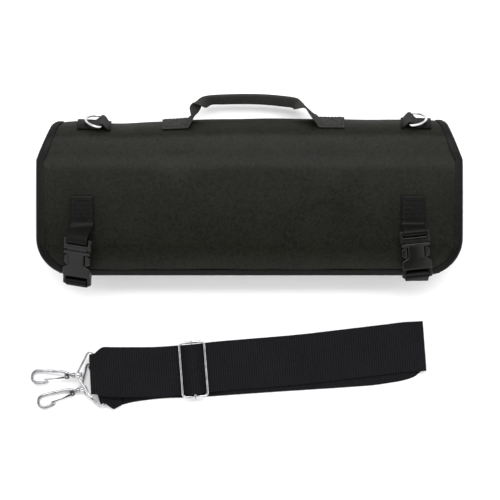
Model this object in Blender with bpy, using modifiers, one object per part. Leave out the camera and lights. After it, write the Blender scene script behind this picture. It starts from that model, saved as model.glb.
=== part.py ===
"""A chef's knife roll lying closed on its back, with its shoulder strap unclipped on the floor in front.

The roll is one padded sheet wound in a flat spiral. Its outer turn ends in a wide flap with round
corners, held down by two side-release buckles. The spine carries a folded webbing handle and two
D-rings. The strap runs from one swivel hook through a slider to the other hook.
"""

import math

import bmesh
import bpy
import numpy as np
from mathutils import Matrix, Vector

# The padded sheet, in metres; the origin is under the back, on the floor
FLAP_WIDTH = 0.425
SPINE_INSET = 0.015
BODY_INSET = 0.0205
ROLL_HEIGHT = 0.052
PANEL_WALL = 0.0035
LAYER_GAP = 0.0036
FLAT_DEPTH = 0.090
ORIGIN_TO_SPINE = 0.044
SPINE_BULGE = 0.034
NOSE_BULGE = 0.027
FLAP_BULGE = 0.037
FLAP_FALL = 0.026
FLAP_END_ANGLE = 35.0
FLAP_CORNER = 0.036
CHAMFER_DEPTH = 0.0405
INNER_TUCK = 0.004
END_DROP = 0.0035
END_LIFT = 0.0016
CROWN_DROP = 0.003

# The tape that binds the sheet's edge
TAPE_WALL = 0.0008
TAPE_WIDTH = 0.0065
TAPE_GAP = 0.0005

# Clearances between pieces that rest on or turn about each other
SEAT_GAP = 0.0004
PLY_GAP = 0.0003
PIN_GAP = 0.0003
BORE_GAP = 0.0005

# Narrow webbing of the handle, the D-ring tabs and the buckle straps
WEBBING_WIDTH = 0.023
WEBBING_WALL = 0.0016

# Buckles
BUCKLE_WIDTH = 0.030
BUCKLE_THICKNESS = 0.0084
PLUG_THICKNESS = 0.0044
BUCKLE_BAR_RADIUS = 0.0019
PATCH_START = 0.0005
PATCH_LENGTH = 0.0255
BUCKLE_RAIL = 0.003
RAIL_END = 0.0004
SOCKET_TOP = 0.0112
SOCKET_LENGTH = 0.0267
SOCKET_SLOT = 0.0022
PLUG_SHOULDER = 0.0057
PRONG_INSET = 0.0036
PAD_INSET = 0.0008
WINDOW_INSIDE = 0.0082
WINDOW_TOP = 0.0078
WINDOW_LOW_MIDDLE = -0.0030
WINDOW_LOW_SIDE = -0.0066
PAD_LOW = -0.0015
PRONG_TIP = -0.0064
TONGUE_HALF = 0.0035
TONGUE_TIP = -0.0080
MOUTH_FLOOR = -0.0108
CORNER_CUT = 0.0010
CUT_MARGIN = 0.002
STRAP_HANG = 62.0

# Handle
HANDLE_CENTRE = 0.004
HANDLE_TAB_SPAN = 0.183
HANDLE_TAB_LENGTH = 0.027
HANDLE_REACH = 0.0235
HANDLE_FOLD_RADIUS = 0.00105
TAB_RISE = 0.0085

# D-rings
RING_WIDTH = 0.025
RING_DEPTH = 0.018
RING_WIRE = 0.00125
RING_TILT = 6.0

# Shoulder strap
STRAP_WIDTH = 0.0508
STRAP_WALL = 0.0016
STRAP_FOLDED = 0.339
STRAP_TILT = 4.4
STRAP_FROM_FLAP = 0.0483
STRAP_OVERHANG = 0.0345
STRAP_NECK = 0.0405
FLOOR_GAP = 0.0001
LAYER_PITCH = 0.0021
FOLD_RADIUS = 0.0022
SLIDER_PLACE = 0.103
SLIDER_LENGTH = 0.0254
SLIDER_WIRE = 0.0013
HOOK_RING_DEPTH = 0.016
HOOK_RING_WIRE = 0.0013
BARREL_RADIUS = 0.0027
BARREL_LENGTH = 0.0052
HOOK_STEM = 0.0015
HOOK_WIRE = 0.0016
HOOK_LENGTH = 0.041
HOOK_BEND = 0.0062
GATE_WALL = 0.0014
GATE_PIN = 0.0008
GATE_EYE_HALF = 0.00095
GATE_HINGE = (0.011, -0.0016)
EAR_WALL = 0.00085
EAR_HALF = 0.0024
TURN_BACK = 0.0275
WIDEN_LENGTH = 0.013
STRAIGHTEN_LENGTH = 0.024

# Pull of the spine towards the flap, along the sheet: share of half width, share of the bulge
SPINE_PULLS = (
    (-1.00, -0.12),
    (-0.93, -0.07),
    (-0.88, -0.05),
    (-0.81, -0.06),
    (-0.73, -0.12),
    (-0.66, -0.14),
    (-0.60, -0.13),
    (-0.52, -0.095),
    (-0.45, -0.07),
    (-0.30, -0.02),
    (-0.12, 0.01),
    (0.25, 0.01),
    (0.50, 0.00),
    (0.81, -0.02),
    (0.95, -0.03),
    (1.00, -0.08),
)
LEFT_SHARES = (-1.0, -0.94, -0.87, -0.79, -0.71, -0.63, -0.54, -0.44, -0.28, -0.12)
RIGHT_SHARES = (0.12, 0.3, 0.5, 0.66, 0.8, 0.9, 1.0)
COLUMN_SHARES = LEFT_SHARES + RIGHT_SHARES

# Buckle sides: inset from the body's side, distance down the flap, yaw, roll and pitch in degrees,
# then the rise above the flap and the patch's own inset
BUCKLES = {
    "left": {
        "side": -1,
        "inset": 0.0207,
        "down": 0.0600,
        "yaw": -2.0,
        "roll": 24.0,
        "pitch": 15.0,
        "rise": 0.0103,
        "patch": 0.0245,
    },
    "right": {
        "side": 1,
        "inset": 0.0260,
        "down": 0.0545,
        "yaw": 4.6,
        "roll": 8.0,
        "pitch": 9.0,
        "rise": 0.0066,
        "patch": 0.0285,
    },
}

# D-ring tabs: side, bar's inset from the spine's end, webbing outside and inside the bar
RING_TABS = {
    "left": {"side": -1, "inset": 0.0490, "outer": 0.0245, "inner": 0.0090},
    "right": {"side": 1, "inset": 0.0365, "outer": 0.0215, "inner": 0.0085},
}

# Free run of the handle: share of the way between the tabs, share of the reach, sink in metres,
# lean of the webbing across (x, y, z) and share of the fold
HANDLE_ROWS = (
    (0.026, 0.10, 0.0006, (-0.08, -0.30, 0.95), 0.0),
    (0.042, 0.30, 0.0030, (-0.32, -0.18, 0.93), 0.0),
    (0.047, 0.52, 0.0060, (-0.48, -0.08, 0.87), 0.0),
    (0.056, 0.72, 0.0085, (-0.34, -0.14, 0.90), 0.0),
    (0.092, 0.88, 0.0100, (-0.10, -0.40, 0.90), 0.35),
    (0.150, 0.955, 0.0102, (0.0, -0.66, 0.75), 0.94),
    (0.260, 0.985, 0.0108, (0.0, -0.72, 0.69), 0.94),
    (0.420, 1.00, 0.0112, (0.0, -0.72, 0.69), 0.94),
    (0.580, 0.985, 0.0112, (0.0, -0.70, 0.71), 0.94),
    (0.730, 0.92, 0.0108, (0.0, -0.70, 0.71), 0.94),
    (0.832, 0.84, 0.0102, (0.0, -0.62, 0.78), 0.94),
    (0.868, 0.72, 0.0095, (0.05, -0.36, 0.92), 0.35),
    (0.902, 0.53, 0.0075, (0.10, -0.20, 0.96), 0.0),
    (0.936, 0.31, 0.0035, (0.06, -0.26, 0.96), 0.0),
    (0.970, 0.12, 0.0008, (0.0, -0.31, 0.95), 0.0),
)

# Sideways drift of the strap's layers: share of the folded length, share of the width
TOP_DRIFT = (
    (0.00, 0.000),
    (0.084, -0.053),
    (0.192, -0.108),
    (0.295, -0.112),
    (0.373, -0.090),
    (0.625, -0.080),
    (0.805, -0.031),
    (0.95, 0.010),
    (1.00, 0.000),
)
BOTTOM_DRIFT = (
    (0.00, -0.300),
    (0.048, -0.289),
    (0.084, -0.209),
    (0.12, -0.167),
    (0.192, -0.144),
    (0.336, -0.177),
    (0.553, -0.189),
    (0.77, -0.207),
    (0.842, -0.205),
    (0.914, -0.173),
    (1.00, -0.045),
)

# Half of a hook ring's wire from the swivel to the bar: shares of its depth and half width
RING_OUTLINE = (
    (1.00, 0.085),
    (0.93, 0.20),
    (0.78, 0.38),
    (0.53, 0.67),
    (0.26, 0.955),
    (0.13, 1.00),
    (0.03, 0.98),
    (0.00, 0.925),
)

# Hooks: place along the strap, sideways share of the width, heading from the strap's axis, pitch,
# bar height
HOOKS = {
    "a": {"along": 0.0013, "across": -0.050, "heading": 1.5, "pitch": 7.5, "bar": 0.0104},
    "b": {"along": 0.0045, "across": -0.260, "heading": -13.6, "pitch": 1.2, "bar": 0.0034},
}

FINISHES = {
    "cloth": ((0.030, 0.031, 0.027), 0.85, 0.0),
    "tape": ((0.014, 0.014, 0.015), 0.80, 0.0),
    "webbing": ((0.018, 0.019, 0.018), 0.85, 0.0),
    "strap": ((0.008, 0.008, 0.010), 0.90, 0.0),
    "plastic": ((0.012, 0.012, 0.012), 0.40, 0.0),
    "metal": ((0.78, 0.78, 0.80), 0.18, 1.0),
}

SPINE_WIDTH = FLAP_WIDTH - 2 * SPINE_INSET
BODY_WIDTH = FLAP_WIDTH - 2 * BODY_INSET
TOP_Z = ROLL_HEIGHT - PANEL_WALL / 2
BACK_Z = PANEL_WALL / 2
LAYER = PANEL_WALL + LAYER_GAP
SPINE_Y = ORIGIN_TO_SPINE
NOSE_Y = SPINE_Y - FLAT_DEPTH
FLAP_EDGE_Y = NOSE_Y - FLAP_BULGE * math.cos(math.radians(FLAP_END_ANGLE))
CHAMFER_Y = SPINE_Y + SPINE_BULGE - CHAMFER_DEPTH
WEB_SEAT = PANEL_WALL / 2 + SEAT_GAP + WEBBING_WALL / 2
PLY_PITCH = WEBBING_WALL + PLY_GAP
BAR_WRAP = BUCKLE_BAR_RADIUS + SEAT_GAP + WEBBING_WALL / 2
PLUG_BAR_Y = SOCKET_TOP + PIN_GAP + PLUG_SHOULDER + SEAT_GAP + BAR_WRAP + WEBBING_WALL / 2
SOCKET_BAR_Y = SOCKET_LENGTH - SOCKET_TOP + SOCKET_SLOT + BAR_WRAP + WEBBING_WALL / 2

for old in list(bpy.data.objects):
    bpy.data.objects.remove(old, do_unlink=True)
PARTS = bpy.data.collections.new("knife_roll")
CUTTERS = bpy.data.collections.new("cutters")
bpy.context.scene.collection.children.link(PARTS)
bpy.context.scene.collection.children.link(CUTTERS)


def finish(thing, kind):
    """Gives an object a material of its own in one of the named finishes."""
    colour, roughness, metallic = FINISHES[kind]
    material = bpy.data.materials.new(thing.name + "_" + kind)
    material.use_nodes = True
    shader = material.node_tree.nodes["Principled BSDF"]
    shader.inputs["Base Color"].default_value = (*colour, 1.0)
    shader.inputs["Roughness"].default_value = roughness
    shader.inputs["Metallic"].default_value = metallic
    thing.data.materials.clear()
    thing.data.materials.append(material)
    thing.data.shade_smooth()
    thing.data.set_sharp_from_angle(angle=math.radians(40))
    return thing


def new_object(name, data, collection=PARTS):
    """An object in one of the two collections."""
    thing = bpy.data.objects.new(name, data)
    collection.objects.link(thing)
    return thing


def mesh_object(name, shape, collection=PARTS):
    """An object from a finished bmesh."""
    mesh = bpy.data.meshes.new(name)
    shape.to_mesh(mesh)
    shape.free()
    return new_object(name, mesh, collection)


def cloth_sheet(name, points, wall, kind):
    """A sheet: a flat grid bent to rows of points, given its wall by Solidify."""
    rows, columns = len(points), len(points[0])
    grid = bmesh.new()
    bmesh.ops.create_grid(grid, x_segments=columns - 1, y_segments=rows - 1, size=0.5)
    for vert in grid.verts:
        column = round((vert.co.x + 0.5) * (columns - 1))
        row = round((vert.co.y + 0.5) * (rows - 1))
        vert.co = points[row][column]
    thing = mesh_object(name, grid)
    skin = thing.modifiers.new("wall", "SOLIDIFY")
    skin.thickness = wall
    skin.offset = 0.0
    skin.use_even_offset = True
    return finish(thing, kind)


def meshed(curve, collection=CUTTERS):
    """A curve object turned into a welded mesh object at the same place."""
    graph = bpy.context.evaluated_depsgraph_get()
    mesh = bpy.data.meshes.new_from_object(curve.evaluated_get(graph))
    shape = bmesh.new()
    shape.from_mesh(mesh)
    bmesh.ops.remove_doubles(shape, verts=shape.verts, dist=1e-6)
    shape.to_mesh(mesh)
    shape.free()
    thing = new_object(curve.name + "_mesh", mesh, collection)
    thing.matrix_world = curve.matrix_world.copy()
    bpy.data.objects.remove(curve, do_unlink=True)
    return thing


def tube(name, points, radius, closed=False, sides=8):
    """A wire along points, as a mesh object among the cutters."""
    data = bpy.data.curves.new(name, "CURVE")
    data.dimensions = "3D"
    data.bevel_depth = radius
    data.bevel_resolution = (sides - 4) // 2
    data.use_fill_caps = True
    spline = data.splines.new("POLY")
    spline.points.add(len(points) - 1)
    for spot, place in zip(spline.points, points):
        spot.co = (*place, 1.0)
    spline.use_cyclic_u = closed
    curve = new_object(name, data, CUTTERS)
    bpy.context.view_layer.update()
    return meshed(curve)


def plate(name, outlines, thickness):
    """Flat outlines, the second and later ones holes, as thick as thickness about z = 0."""
    data = bpy.data.curves.new(name, "CURVE")
    data.dimensions = "2D"
    data.fill_mode = "BOTH"
    data.extrude = thickness / 2
    for outline in outlines:
        spline = data.splines.new("POLY")
        spline.points.add(len(outline) - 1)
        for spot, (x, y) in zip(spline.points, outline):
            spot.co = (x, y, 0.0, 1.0)
        spline.use_cyclic_u = True
    curve = new_object(name, data, CUTTERS)
    bpy.context.view_layer.update()
    return meshed(curve)


def rod(name, radius, start, end, sides=12):
    """A round bar between two points, as a mesh object among the cutters."""
    start, end = Vector(start), Vector(end)
    shape = bmesh.new()
    bmesh.ops.create_cone(
        shape, cap_ends=True, segments=sides, radius1=radius, radius2=radius, depth=(end - start).length
    )
    turn = (end - start).to_track_quat("Z", "Y").to_matrix().to_4x4()
    bmesh.ops.transform(shape, matrix=Matrix.Translation((start + end) / 2) @ turn, verts=shape.verts)
    return mesh_object(name, shape, CUTTERS)


def block(name, low, high):
    """A box between two corners, as a mesh object among the cutters."""
    low, high = Vector(low), Vector(high)
    shape = bmesh.new()
    bmesh.ops.create_cube(shape, size=1.0)
    bmesh.ops.scale(shape, vec=high - low, verts=shape.verts)
    bmesh.ops.translate(shape, vec=(low + high) / 2, verts=shape.verts)
    return mesh_object(name, shape, CUTTERS)


def as_part(name, thing, kind):
    """Moves a mesh from the cutters into the parts under its node's name."""
    CUTTERS.objects.unlink(thing)
    PARTS.objects.link(thing)
    thing.name = name
    thing.data.name = name
    return finish(thing, kind)


def combine(thing, tools, operation):
    """Joins the tools to a thing, or cuts them out of it."""
    for number, tool in enumerate(tools):
        step = thing.modifiers.new(f"{operation.lower()}_{number}", "BOOLEAN")
        step.operation = operation
        step.object = tool
        step.solver = "EXACT"
        tool.hide_render = True
        tool.display_type = "WIRE"
    return thing


def place(thing, tools, matrix):
    """Moves a part and the tools that shape it to one place."""
    for each in [thing, *tools]:
        each.matrix_world = matrix @ each.matrix_world


def table(rows, share):
    """The value of a two-column table at a share of its first column."""
    return float(np.interp(share, [row[0] for row in rows], [row[1] for row in rows]))


def smoothstep(share):
    """Eases 0 to 1 with level ends."""
    share = min(max(share, 0.0), 1.0)
    return share * share * (3 - 2 * share)


def ellipse_arc(centre_y, low_z, high_z, bulge, start, end, steps):
    """Points of an ellipse standing between two heights, its angles from +Y towards +Z."""
    middle, half = (low_z + high_z) / 2, (high_z - low_z) / 2
    angles = np.radians(np.linspace(start, end, steps + 1))
    return [(centre_y + bulge * math.cos(a), middle + half * math.sin(a)) for a in angles]


def flap_height(y):
    """Height of the flap's middle: level, then an ellipse falling over the nose."""
    over = max(0.0, NOSE_Y - y) / FLAP_BULGE
    return TOP_Z - FLAP_FALL * (1 - math.sqrt(1 - over * over))


def flap_half_width(y):
    """Half the sheet's width seen from above: round flap corners, level sides, a chamfer to the spine."""
    run = y - FLAP_EDGE_Y
    if run < FLAP_CORNER:
        return FLAP_WIDTH / 2 - FLAP_CORNER + math.sqrt(max(0.0, FLAP_CORNER**2 - (FLAP_CORNER - run) ** 2))
    share = min(max((y - CHAMFER_Y) / CHAMFER_DEPTH, 0.0), 1.0)
    return (FLAP_WIDTH + share * (SPINE_WIDTH - FLAP_WIDTH)) / 2


def spiral_rows():
    """The sheet's middle line from the flap's edge inwards, and where each run of it starts.

    A row is (y, z, half width)."""
    corner = [FLAP_EDGE_Y + FLAP_CORNER * (1 - math.cos(math.radians(a))) for a in range(0, 91, 15)]
    level = list(np.linspace(corner[-1], CHAMFER_Y, 4))[1:]
    rows = [(y, flap_height(y), flap_half_width(y)) for y in corner + level]
    starts = {"flap": 0, "spine": len(rows)}
    spine = ellipse_arc(SPINE_Y, BACK_Z, TOP_Z, SPINE_BULGE, 90, -90, 10)
    for number, (y, z) in enumerate(spine):
        below = max(0, number - 5) / 5
        rows.append((y, z, flap_half_width(y) * (1 - below) + BODY_WIDTH / 2 * below))
    starts["back"] = len(rows)
    second_z = TOP_Z - LAYER
    inner_z = BACK_Z + LAYER
    body = [(y, BACK_Z) for y in np.linspace(SPINE_Y, NOSE_Y, 4)[1:-1]]
    starts["nose"] = len(rows) + len(body)
    body += ellipse_arc(NOSE_Y, BACK_Z, second_z, NOSE_BULGE, -90, -270, 8)
    starts["second"] = len(rows) + len(body)
    body += [(y, second_z) for y in np.linspace(NOSE_Y, SPINE_Y, 4)[1:-1]]
    body += ellipse_arc(SPINE_Y, inner_z, second_z, SPINE_BULGE - LAYER, 90, -90, 6)
    body += [(y, inner_z) for y in np.linspace(SPINE_Y, NOSE_Y - INNER_TUCK, 4)[1:]]
    rows += [(y, z, BODY_WIDTH / 2) for y, z in body]
    return rows, starts


def settle(x, y, z):
    """Pulls the spine in where it sags and lets the ends and edges of the stack drop."""
    if y > SPINE_Y:
        share = x / (SPINE_WIDTH / 2)
        y = SPINE_Y + (y - SPINE_Y) * (1 + table(SPINE_PULLS, share))
    stack = LAYER + PANEL_WALL
    height = min(max((z - stack) / (ROLL_HEIGHT - 2 * stack), 0.0), 1.0)
    across = abs(x) / (FLAP_WIDTH / 2)
    lift = END_LIFT * smoothstep((abs(x) / (BODY_WIDTH / 2) - 0.8) / 0.16)
    middle = (SPINE_Y + NOSE_Y) / 2
    reach = FLAT_DEPTH / 2 + SPINE_BULGE
    drop = END_DROP * across**4 + CROWN_DROP * ((y - middle) / reach) ** 2
    return np.array((x, y, z + lift * (1 - height) - drop * height))


ROWS, STARTS = spiral_rows()
GRID = np.array([[settle(share * half, y, z) for share in COLUMN_SHARES] for y, z, half in ROWS])


def middle_point(x, row):
    """A point of the sheet's middle surface, on the facets between its rows and columns."""
    row = min(max(row, 0.0), len(ROWS) - 1.0)
    low = min(int(row), len(ROWS) - 2)
    ends = []
    for line in (low, low + 1):
        share = min(max(x / ROWS[line][2], -1.0), 1.0)
        ends.append(np.array([np.interp(share, COLUMN_SHARES, GRID[line, :, axis]) for axis in range(3)]))
    return ends[0] + (ends[1] - ends[0]) * (row - low)


def on_sheet(x, row, height=0.0):
    """A point above the sheet's middle surface, along its outward normal."""
    across = middle_point(x + 0.002, row) - middle_point(x - 0.002, row)
    along = middle_point(x, row + 0.5) - middle_point(x, row - 0.5)
    normal = np.cross(across, along)
    return middle_point(x, row) + normal * (height / np.linalg.norm(normal))


def flap_row(y):
    """The fractional row of the flap at a distance y."""
    last = STARTS["spine"]
    return float(np.interp(y, [row[0] for row in ROWS[:last]], range(last)))


def spine_rises():
    """Arc length of each row of the spine above its outermost line."""
    lines = [row[:2] for row in ROWS[STARTS["spine"] : STARTS["back"]]]
    arcs = np.cumsum([0.0, *(math.dist(before, after) for before, after in zip(lines, lines[1:]))])
    return arcs[len(arcs) // 2] - arcs


SPINE_RISES = spine_rises()


def spine_row(rise):
    """The fractional row of the spine at an arc length above its outermost line."""
    return float(np.interp(-rise, -SPINE_RISES, range(STARTS["spine"], STARTS["back"])))


def spine_rise(row):
    """Arc length above the spine's outermost line at a fractional row."""
    return float(np.interp(row, range(STARTS["spine"], STARTS["back"]), SPINE_RISES))


def unit(vector):
    """A vector of length one."""
    vector = np.asarray(vector, float)
    return vector / np.linalg.norm(vector)


def smooth_path(points, steps):
    """Rows of numbers eased through given rows by a Catmull-Rom curve."""
    points = np.asarray(points, float)
    padded = np.vstack((2 * points[0] - points[1], points, 2 * points[-1] - points[-2]))
    out = []
    for start in range(len(points) - 1):
        a, b, c, d = padded[start : start + 4]
        for share in np.arange(steps) / steps:
            out.append(
                0.5
                * (
                    2 * b
                    + (c - a) * share
                    + (2 * a - 5 * b + 4 * c - d) * share**2
                    + (3 * b - a - 3 * c + d) * share**3
                )
            )
    return out + [points[-1]]


def roll_panel():
    """The padded sheet."""
    return cloth_sheet("roll_panel", GRID, PANEL_WALL, "cloth")


def edge_binding():
    """The tape folded round the sheet's sides and the flap's edge, following the sheet's own rows."""
    lengths = [0.0]
    for before, after in zip(ROWS, ROWS[1:]):
        lengths.append(lengths[-1] + math.dist(before[:2], after[:2]))
    last = len(ROWS) - 1
    front = ROWS[0][2]
    border = [(-ROWS[row][2], lengths[row]) for row in range(last, 0, -1)]
    border += [(share * front, 0.0) for share in COLUMN_SHARES]
    border += [(ROWS[row][2], lengths[row]) for row in range(1, last + 1)]
    rise = PANEL_WALL / 2 + TAPE_GAP + TAPE_WALL / 2
    beyond = TAPE_GAP + TAPE_WALL / 2
    sections = []
    for number, (x, run) in enumerate(border):
        before = np.array(border[max(number - 1, 0)])
        after = np.array(border[min(number + 1, len(border) - 1)])
        along = unit(unit(np.array((x, run)) - before) if number else after - (x, run))
        ahead = unit(after - (x, run)) if number < len(border) - 1 else along
        along = unit(along + ahead)
        inward = np.array((-along[1], along[0]))
        inner_x, inner_run = np.array((x, run)) + inward * TAPE_WIDTH
        edge_row = float(np.interp(run, lengths, range(len(lengths))))
        inner_row = float(np.interp(inner_run, lengths, range(len(lengths))))
        edge = middle_point(x, edge_row)
        inner = middle_point(inner_x, inner_row)
        outward = unit(edge - inner)
        edge_lift = on_sheet(x, edge_row, rise) - edge
        inner_lift = on_sheet(inner_x, inner_row, rise) - inner
        rim = edge + outward * beyond
        sections.append([inner + inner_lift, rim + edge_lift, rim - edge_lift, inner - inner_lift])
    return cloth_sheet("edge_binding", sections, TAPE_WALL, "tape")


def sheet_frame(x, row, height):
    """A frame on the sheet: x across, y up the flap or along the sheet's rows, z outward."""
    place_at = on_sheet(x, row, height)
    out = unit(on_sheet(x, row, 1.0) - on_sheet(x, row, 0.0))
    across = unit(middle_point(x + WEBBING_WIDTH / 2, row) - middle_point(x - WEBBING_WIDTH / 2, row))
    along = unit(np.cross(out, across))
    across = unit(np.cross(along, out))
    frame = Matrix((across, along, out)).transposed().to_4x4()
    frame.translation = Vector(place_at)
    return frame


def buckle_frame(spec):
    """Where a buckle lies on the flap: x across, y up towards the spine, z outward."""
    x = spec["side"] * (BODY_WIDTH / 2 - spec["inset"])
    row = flap_row(-spec["down"])
    base = Vector(on_sheet(x, row, PANEL_WALL / 2 + spec["rise"]))
    turn = (
        Matrix.Rotation(math.radians(spec["yaw"]), 4, "Z")
        @ Matrix.Rotation(math.radians(spec["pitch"]), 4, "X")
        @ Matrix.Rotation(math.radians(spec["side"] * spec["roll"]), 4, "Y")
    )
    return Matrix.Translation(base) @ turn


def looped_webbing(name, frames, turn_steps=6):
    """Doubled webbing: along its frames on the lower ply, round the bar at the last frame and back on top.

    Each frame is (matrix, half the distance between the plies); the last one's origin is the bar."""
    half = WEBBING_WIDTH / 2
    rows = []

    def add(matrix, along, out):
        rows.append([matrix @ Vector((side * half, along, out)) for side in (-1, 1)])

    for matrix, spread in frames:
        add(matrix, 0.0, -spread)
    bar, radius = frames[-1]
    for step in range(1, turn_steps):
        angle = math.pi * step / turn_steps
        add(bar, -radius * math.sin(angle), -radius * math.cos(angle))
    for matrix, spread in reversed(frames):
        add(matrix, 0.0, spread)
    return cloth_sheet(name, rows, WEBBING_WALL, "webbing")


def between(first, last, share, slack=0.35):
    """A frame part of the way from one frame to another, on a curve tangent to both along y."""
    start, end = first.translation, last.translation
    reach = (end - start).length * slack
    leave = start - first.col[1].to_3d() * reach
    arrive = end + last.col[1].to_3d() * reach
    rest = 1 - share
    spot = start * rest**3 + leave * (3 * rest**2 * share) + arrive * (3 * rest * share**2) + end * share**3
    turn = first.to_quaternion().slerp(last.to_quaternion(), smoothstep(share * 1.2))
    return Matrix.Translation(spot) @ turn.to_matrix().to_4x4()


def buckle_upper_strap(side, spec):
    """Doubled webbing sewn to the flap and looped round the plug's bar."""
    x = spec["side"] * (BODY_WIDTH / 2 - spec["patch"])
    height = WEB_SEAT + PLY_PITCH / 2
    top, low = flap_row(PATCH_START), flap_row(PATCH_START - PATCH_LENGTH)
    stations = sorted({top, low, *range(math.ceil(low), math.ceil(top))}, reverse=True)
    frames = [(sheet_frame(x, row, height), PLY_PITCH / 2) for row in stations]
    bar = buckle_frame(spec) @ Matrix.Translation((0.0, PLUG_BAR_Y, 0.0))
    for share in (0.2, 0.4, 0.6, 0.8, 1.0):
        spread = PLY_PITCH / 2 + (BAR_WRAP - PLY_PITCH / 2) * smoothstep(share)
        frames.append((between(frames[len(stations) - 1][0], bar, share), spread))
    return looped_webbing(f"buckle_upper_strap_{side}", frames)


def buckle_lower_strap(side, spec):
    """Doubled webbing from the roll's nose over the flap's edge, looped round the socket's bar."""
    flip = Matrix.Rotation(math.pi, 4, "Z")
    hang = Matrix.Rotation(math.radians(-STRAP_HANG), 4, "X")
    bar = buckle_frame(spec) @ Matrix.Translation((0.0, -SOCKET_BAR_Y, 0.0)) @ flip @ hang
    x = bar.translation.x
    nose = STARTS["nose"]
    seats = [sheet_frame(x, row, WEB_SEAT + PLY_PITCH / 2) @ flip for row in (nose + 2, nose + 3, nose + 4)]
    tape = TAPE_GAP + TAPE_WALL
    edge = on_sheet(x, 0, PANEL_WALL / 2 + tape)
    beyond = tape + SEAT_GAP + WEBBING_WALL + PLY_GAP / 2
    over = Matrix(((-1, 0, 0, edge[0]), (0, 0, -1, edge[1] - beyond), (0, -1, 0, edge[2]), (0, 0, 0, 1)))
    frames = [(seat, PLY_PITCH / 2) for seat in seats]
    frames += [(between(seats[-1], over, share), PLY_PITCH / 2) for share in (0.5, 1.0)]
    for share in (0.25, 0.5, 0.75, 1.0):
        spread = PLY_PITCH / 2 + (BAR_WRAP - PLY_PITCH / 2) * smoothstep(share)
        frames.append((between(over, bar, share), spread))
    return looped_webbing(f"buckle_lower_strap_{side}", frames)


def mirrored(half):
    """An outline from its right half, given from the top centre line round to the bottom one."""
    return half + [(-x, y) for x, y in reversed(half)]


def buckle_plug(side, spec):
    """The half with the two sprung prongs and pads, its bar between two rails."""
    edge = BUCKLE_WIDTH / 2
    rail = edge - BUCKLE_RAIL
    top = PLUG_BAR_Y + BUCKLE_BAR_RADIUS + RAIL_END
    shoulder = SOCKET_TOP + PIN_GAP
    prong = edge - PRONG_INSET
    pad = edge - PAD_INSET
    outline = mirrored(
        [
            (rail, shoulder + PLUG_SHOULDER),
            (rail, top),
            (edge - CORNER_CUT, top),
            (edge, top - CORNER_CUT),
            (edge, shoulder),
            (prong, shoulder + 0.0004),
            (prong, WINDOW_TOP - 0.0013),
            (pad, WINDOW_TOP - 0.0030),
            (pad, PAD_LOW),
            (prong - 0.0010, PRONG_TIP),
            (prong - 0.0028, PRONG_TIP + 0.0002),
            (prong - 0.0026, WINDOW_TOP + 0.0007),
            (TONGUE_HALF, WINDOW_TOP + 0.0003),
            (TONGUE_HALF - 0.0005, TONGUE_TIP),
        ]
    )
    body = plate("plug", [outline], PLUG_THICKNESS)
    reach = edge - CORNER_CUT
    bar = rod("plug_bar", BUCKLE_BAR_RADIUS, (-reach, PLUG_BAR_Y, 0), (reach, PLUG_BAR_Y, 0))
    place(body, [bar], buckle_frame(spec))
    return as_part(f"buckle_plug_{side}", combine(body, [bar], "UNION"), "plastic")


def buckle_socket(side, spec):
    """The half that takes the prongs, with a window in each side for their pads."""
    edge = BUCKLE_WIDTH / 2
    rail = edge - BUCKLE_RAIL
    high = BUCKLE_THICKNESS / 2
    cavity = PLUG_THICKNESS / 2 + PIN_GAP
    low = SOCKET_TOP - SOCKET_LENGTH
    foot = SOCKET_BAR_Y + BUCKLE_BAR_RADIUS + RAIL_END
    outline = mirrored(
        [
            (edge - 0.0006, SOCKET_TOP),
            (edge, MOUTH_FLOOR),
            (edge, low + CORNER_CUT),
            (edge - CORNER_CUT, low),
        ]
    )
    body = plate("socket", [outline], BUCKLE_THICKNESS)
    rails = []
    for hand in (-1, 1):
        corners = [
            (rail, low + CORNER_CUT),
            (edge, low + CORNER_CUT),
            (edge, CORNER_CUT - foot),
            (edge - CORNER_CUT, -foot),
            (rail, -foot),
        ]
        corners = [(hand * x, y) for x, y in corners]
        rails.append(plate(f"socket_rail_{hand}", [corners], PLUG_THICKNESS))
    reach = edge - CORNER_CUT
    bar = rod("socket_bar", BUCKLE_BAR_RADIUS, (-reach, -SOCKET_BAR_Y, 0), (reach, -SOCKET_BAR_Y, 0))
    wall = edge - PRONG_INSET + PIN_GAP * 2
    beyond = edge + CUT_MARGIN
    mouth = ((-wall, MOUTH_FLOOR, -cavity), (wall, SOCKET_TOP + CUT_MARGIN, cavity))
    cuts = [block("socket_mouth", *mouth)]
    for hand in (-1, 1):
        corners = [
            (WINDOW_INSIDE, WINDOW_TOP),
            (beyond, WINDOW_TOP),
            (beyond, WINDOW_LOW_SIDE),
            (WINDOW_INSIDE, WINDOW_LOW_MIDDLE),
        ]
        corners = [(hand * x, y) for x, y in corners]
        cuts.append(plate(f"socket_window_{hand}", [corners], BUCKLE_THICKNESS * 2))
    place(body, [*rails, bar, *cuts], buckle_frame(spec))
    combine(body, [*rails, bar], "UNION")
    combine(body, cuts, "DIFFERENCE")
    return as_part(f"buckle_socket_{side}", body, "plastic")


def tab_rows():
    """Rows of the spine across a tab's webbing and their shares of its half width."""
    low, high = spine_row(TAB_RISE + WEBBING_WIDTH / 2), spine_row(TAB_RISE - WEBBING_WIDTH / 2)
    rows = sorted({low, high, *range(math.ceil(low), math.ceil(high))}, reverse=True)
    return [(row, (spine_rise(row) - TAB_RISE) / (WEBBING_WIDTH / 2)) for row in rows]


def sheet_stations(low, high):
    """Distances across the sheet from low to high, one of them at each column crossed."""
    half = SPINE_WIDTH / 2
    return sorted({low, high, *(share * half for share in COLUMN_SHARES if low < share * half < high)})


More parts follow.
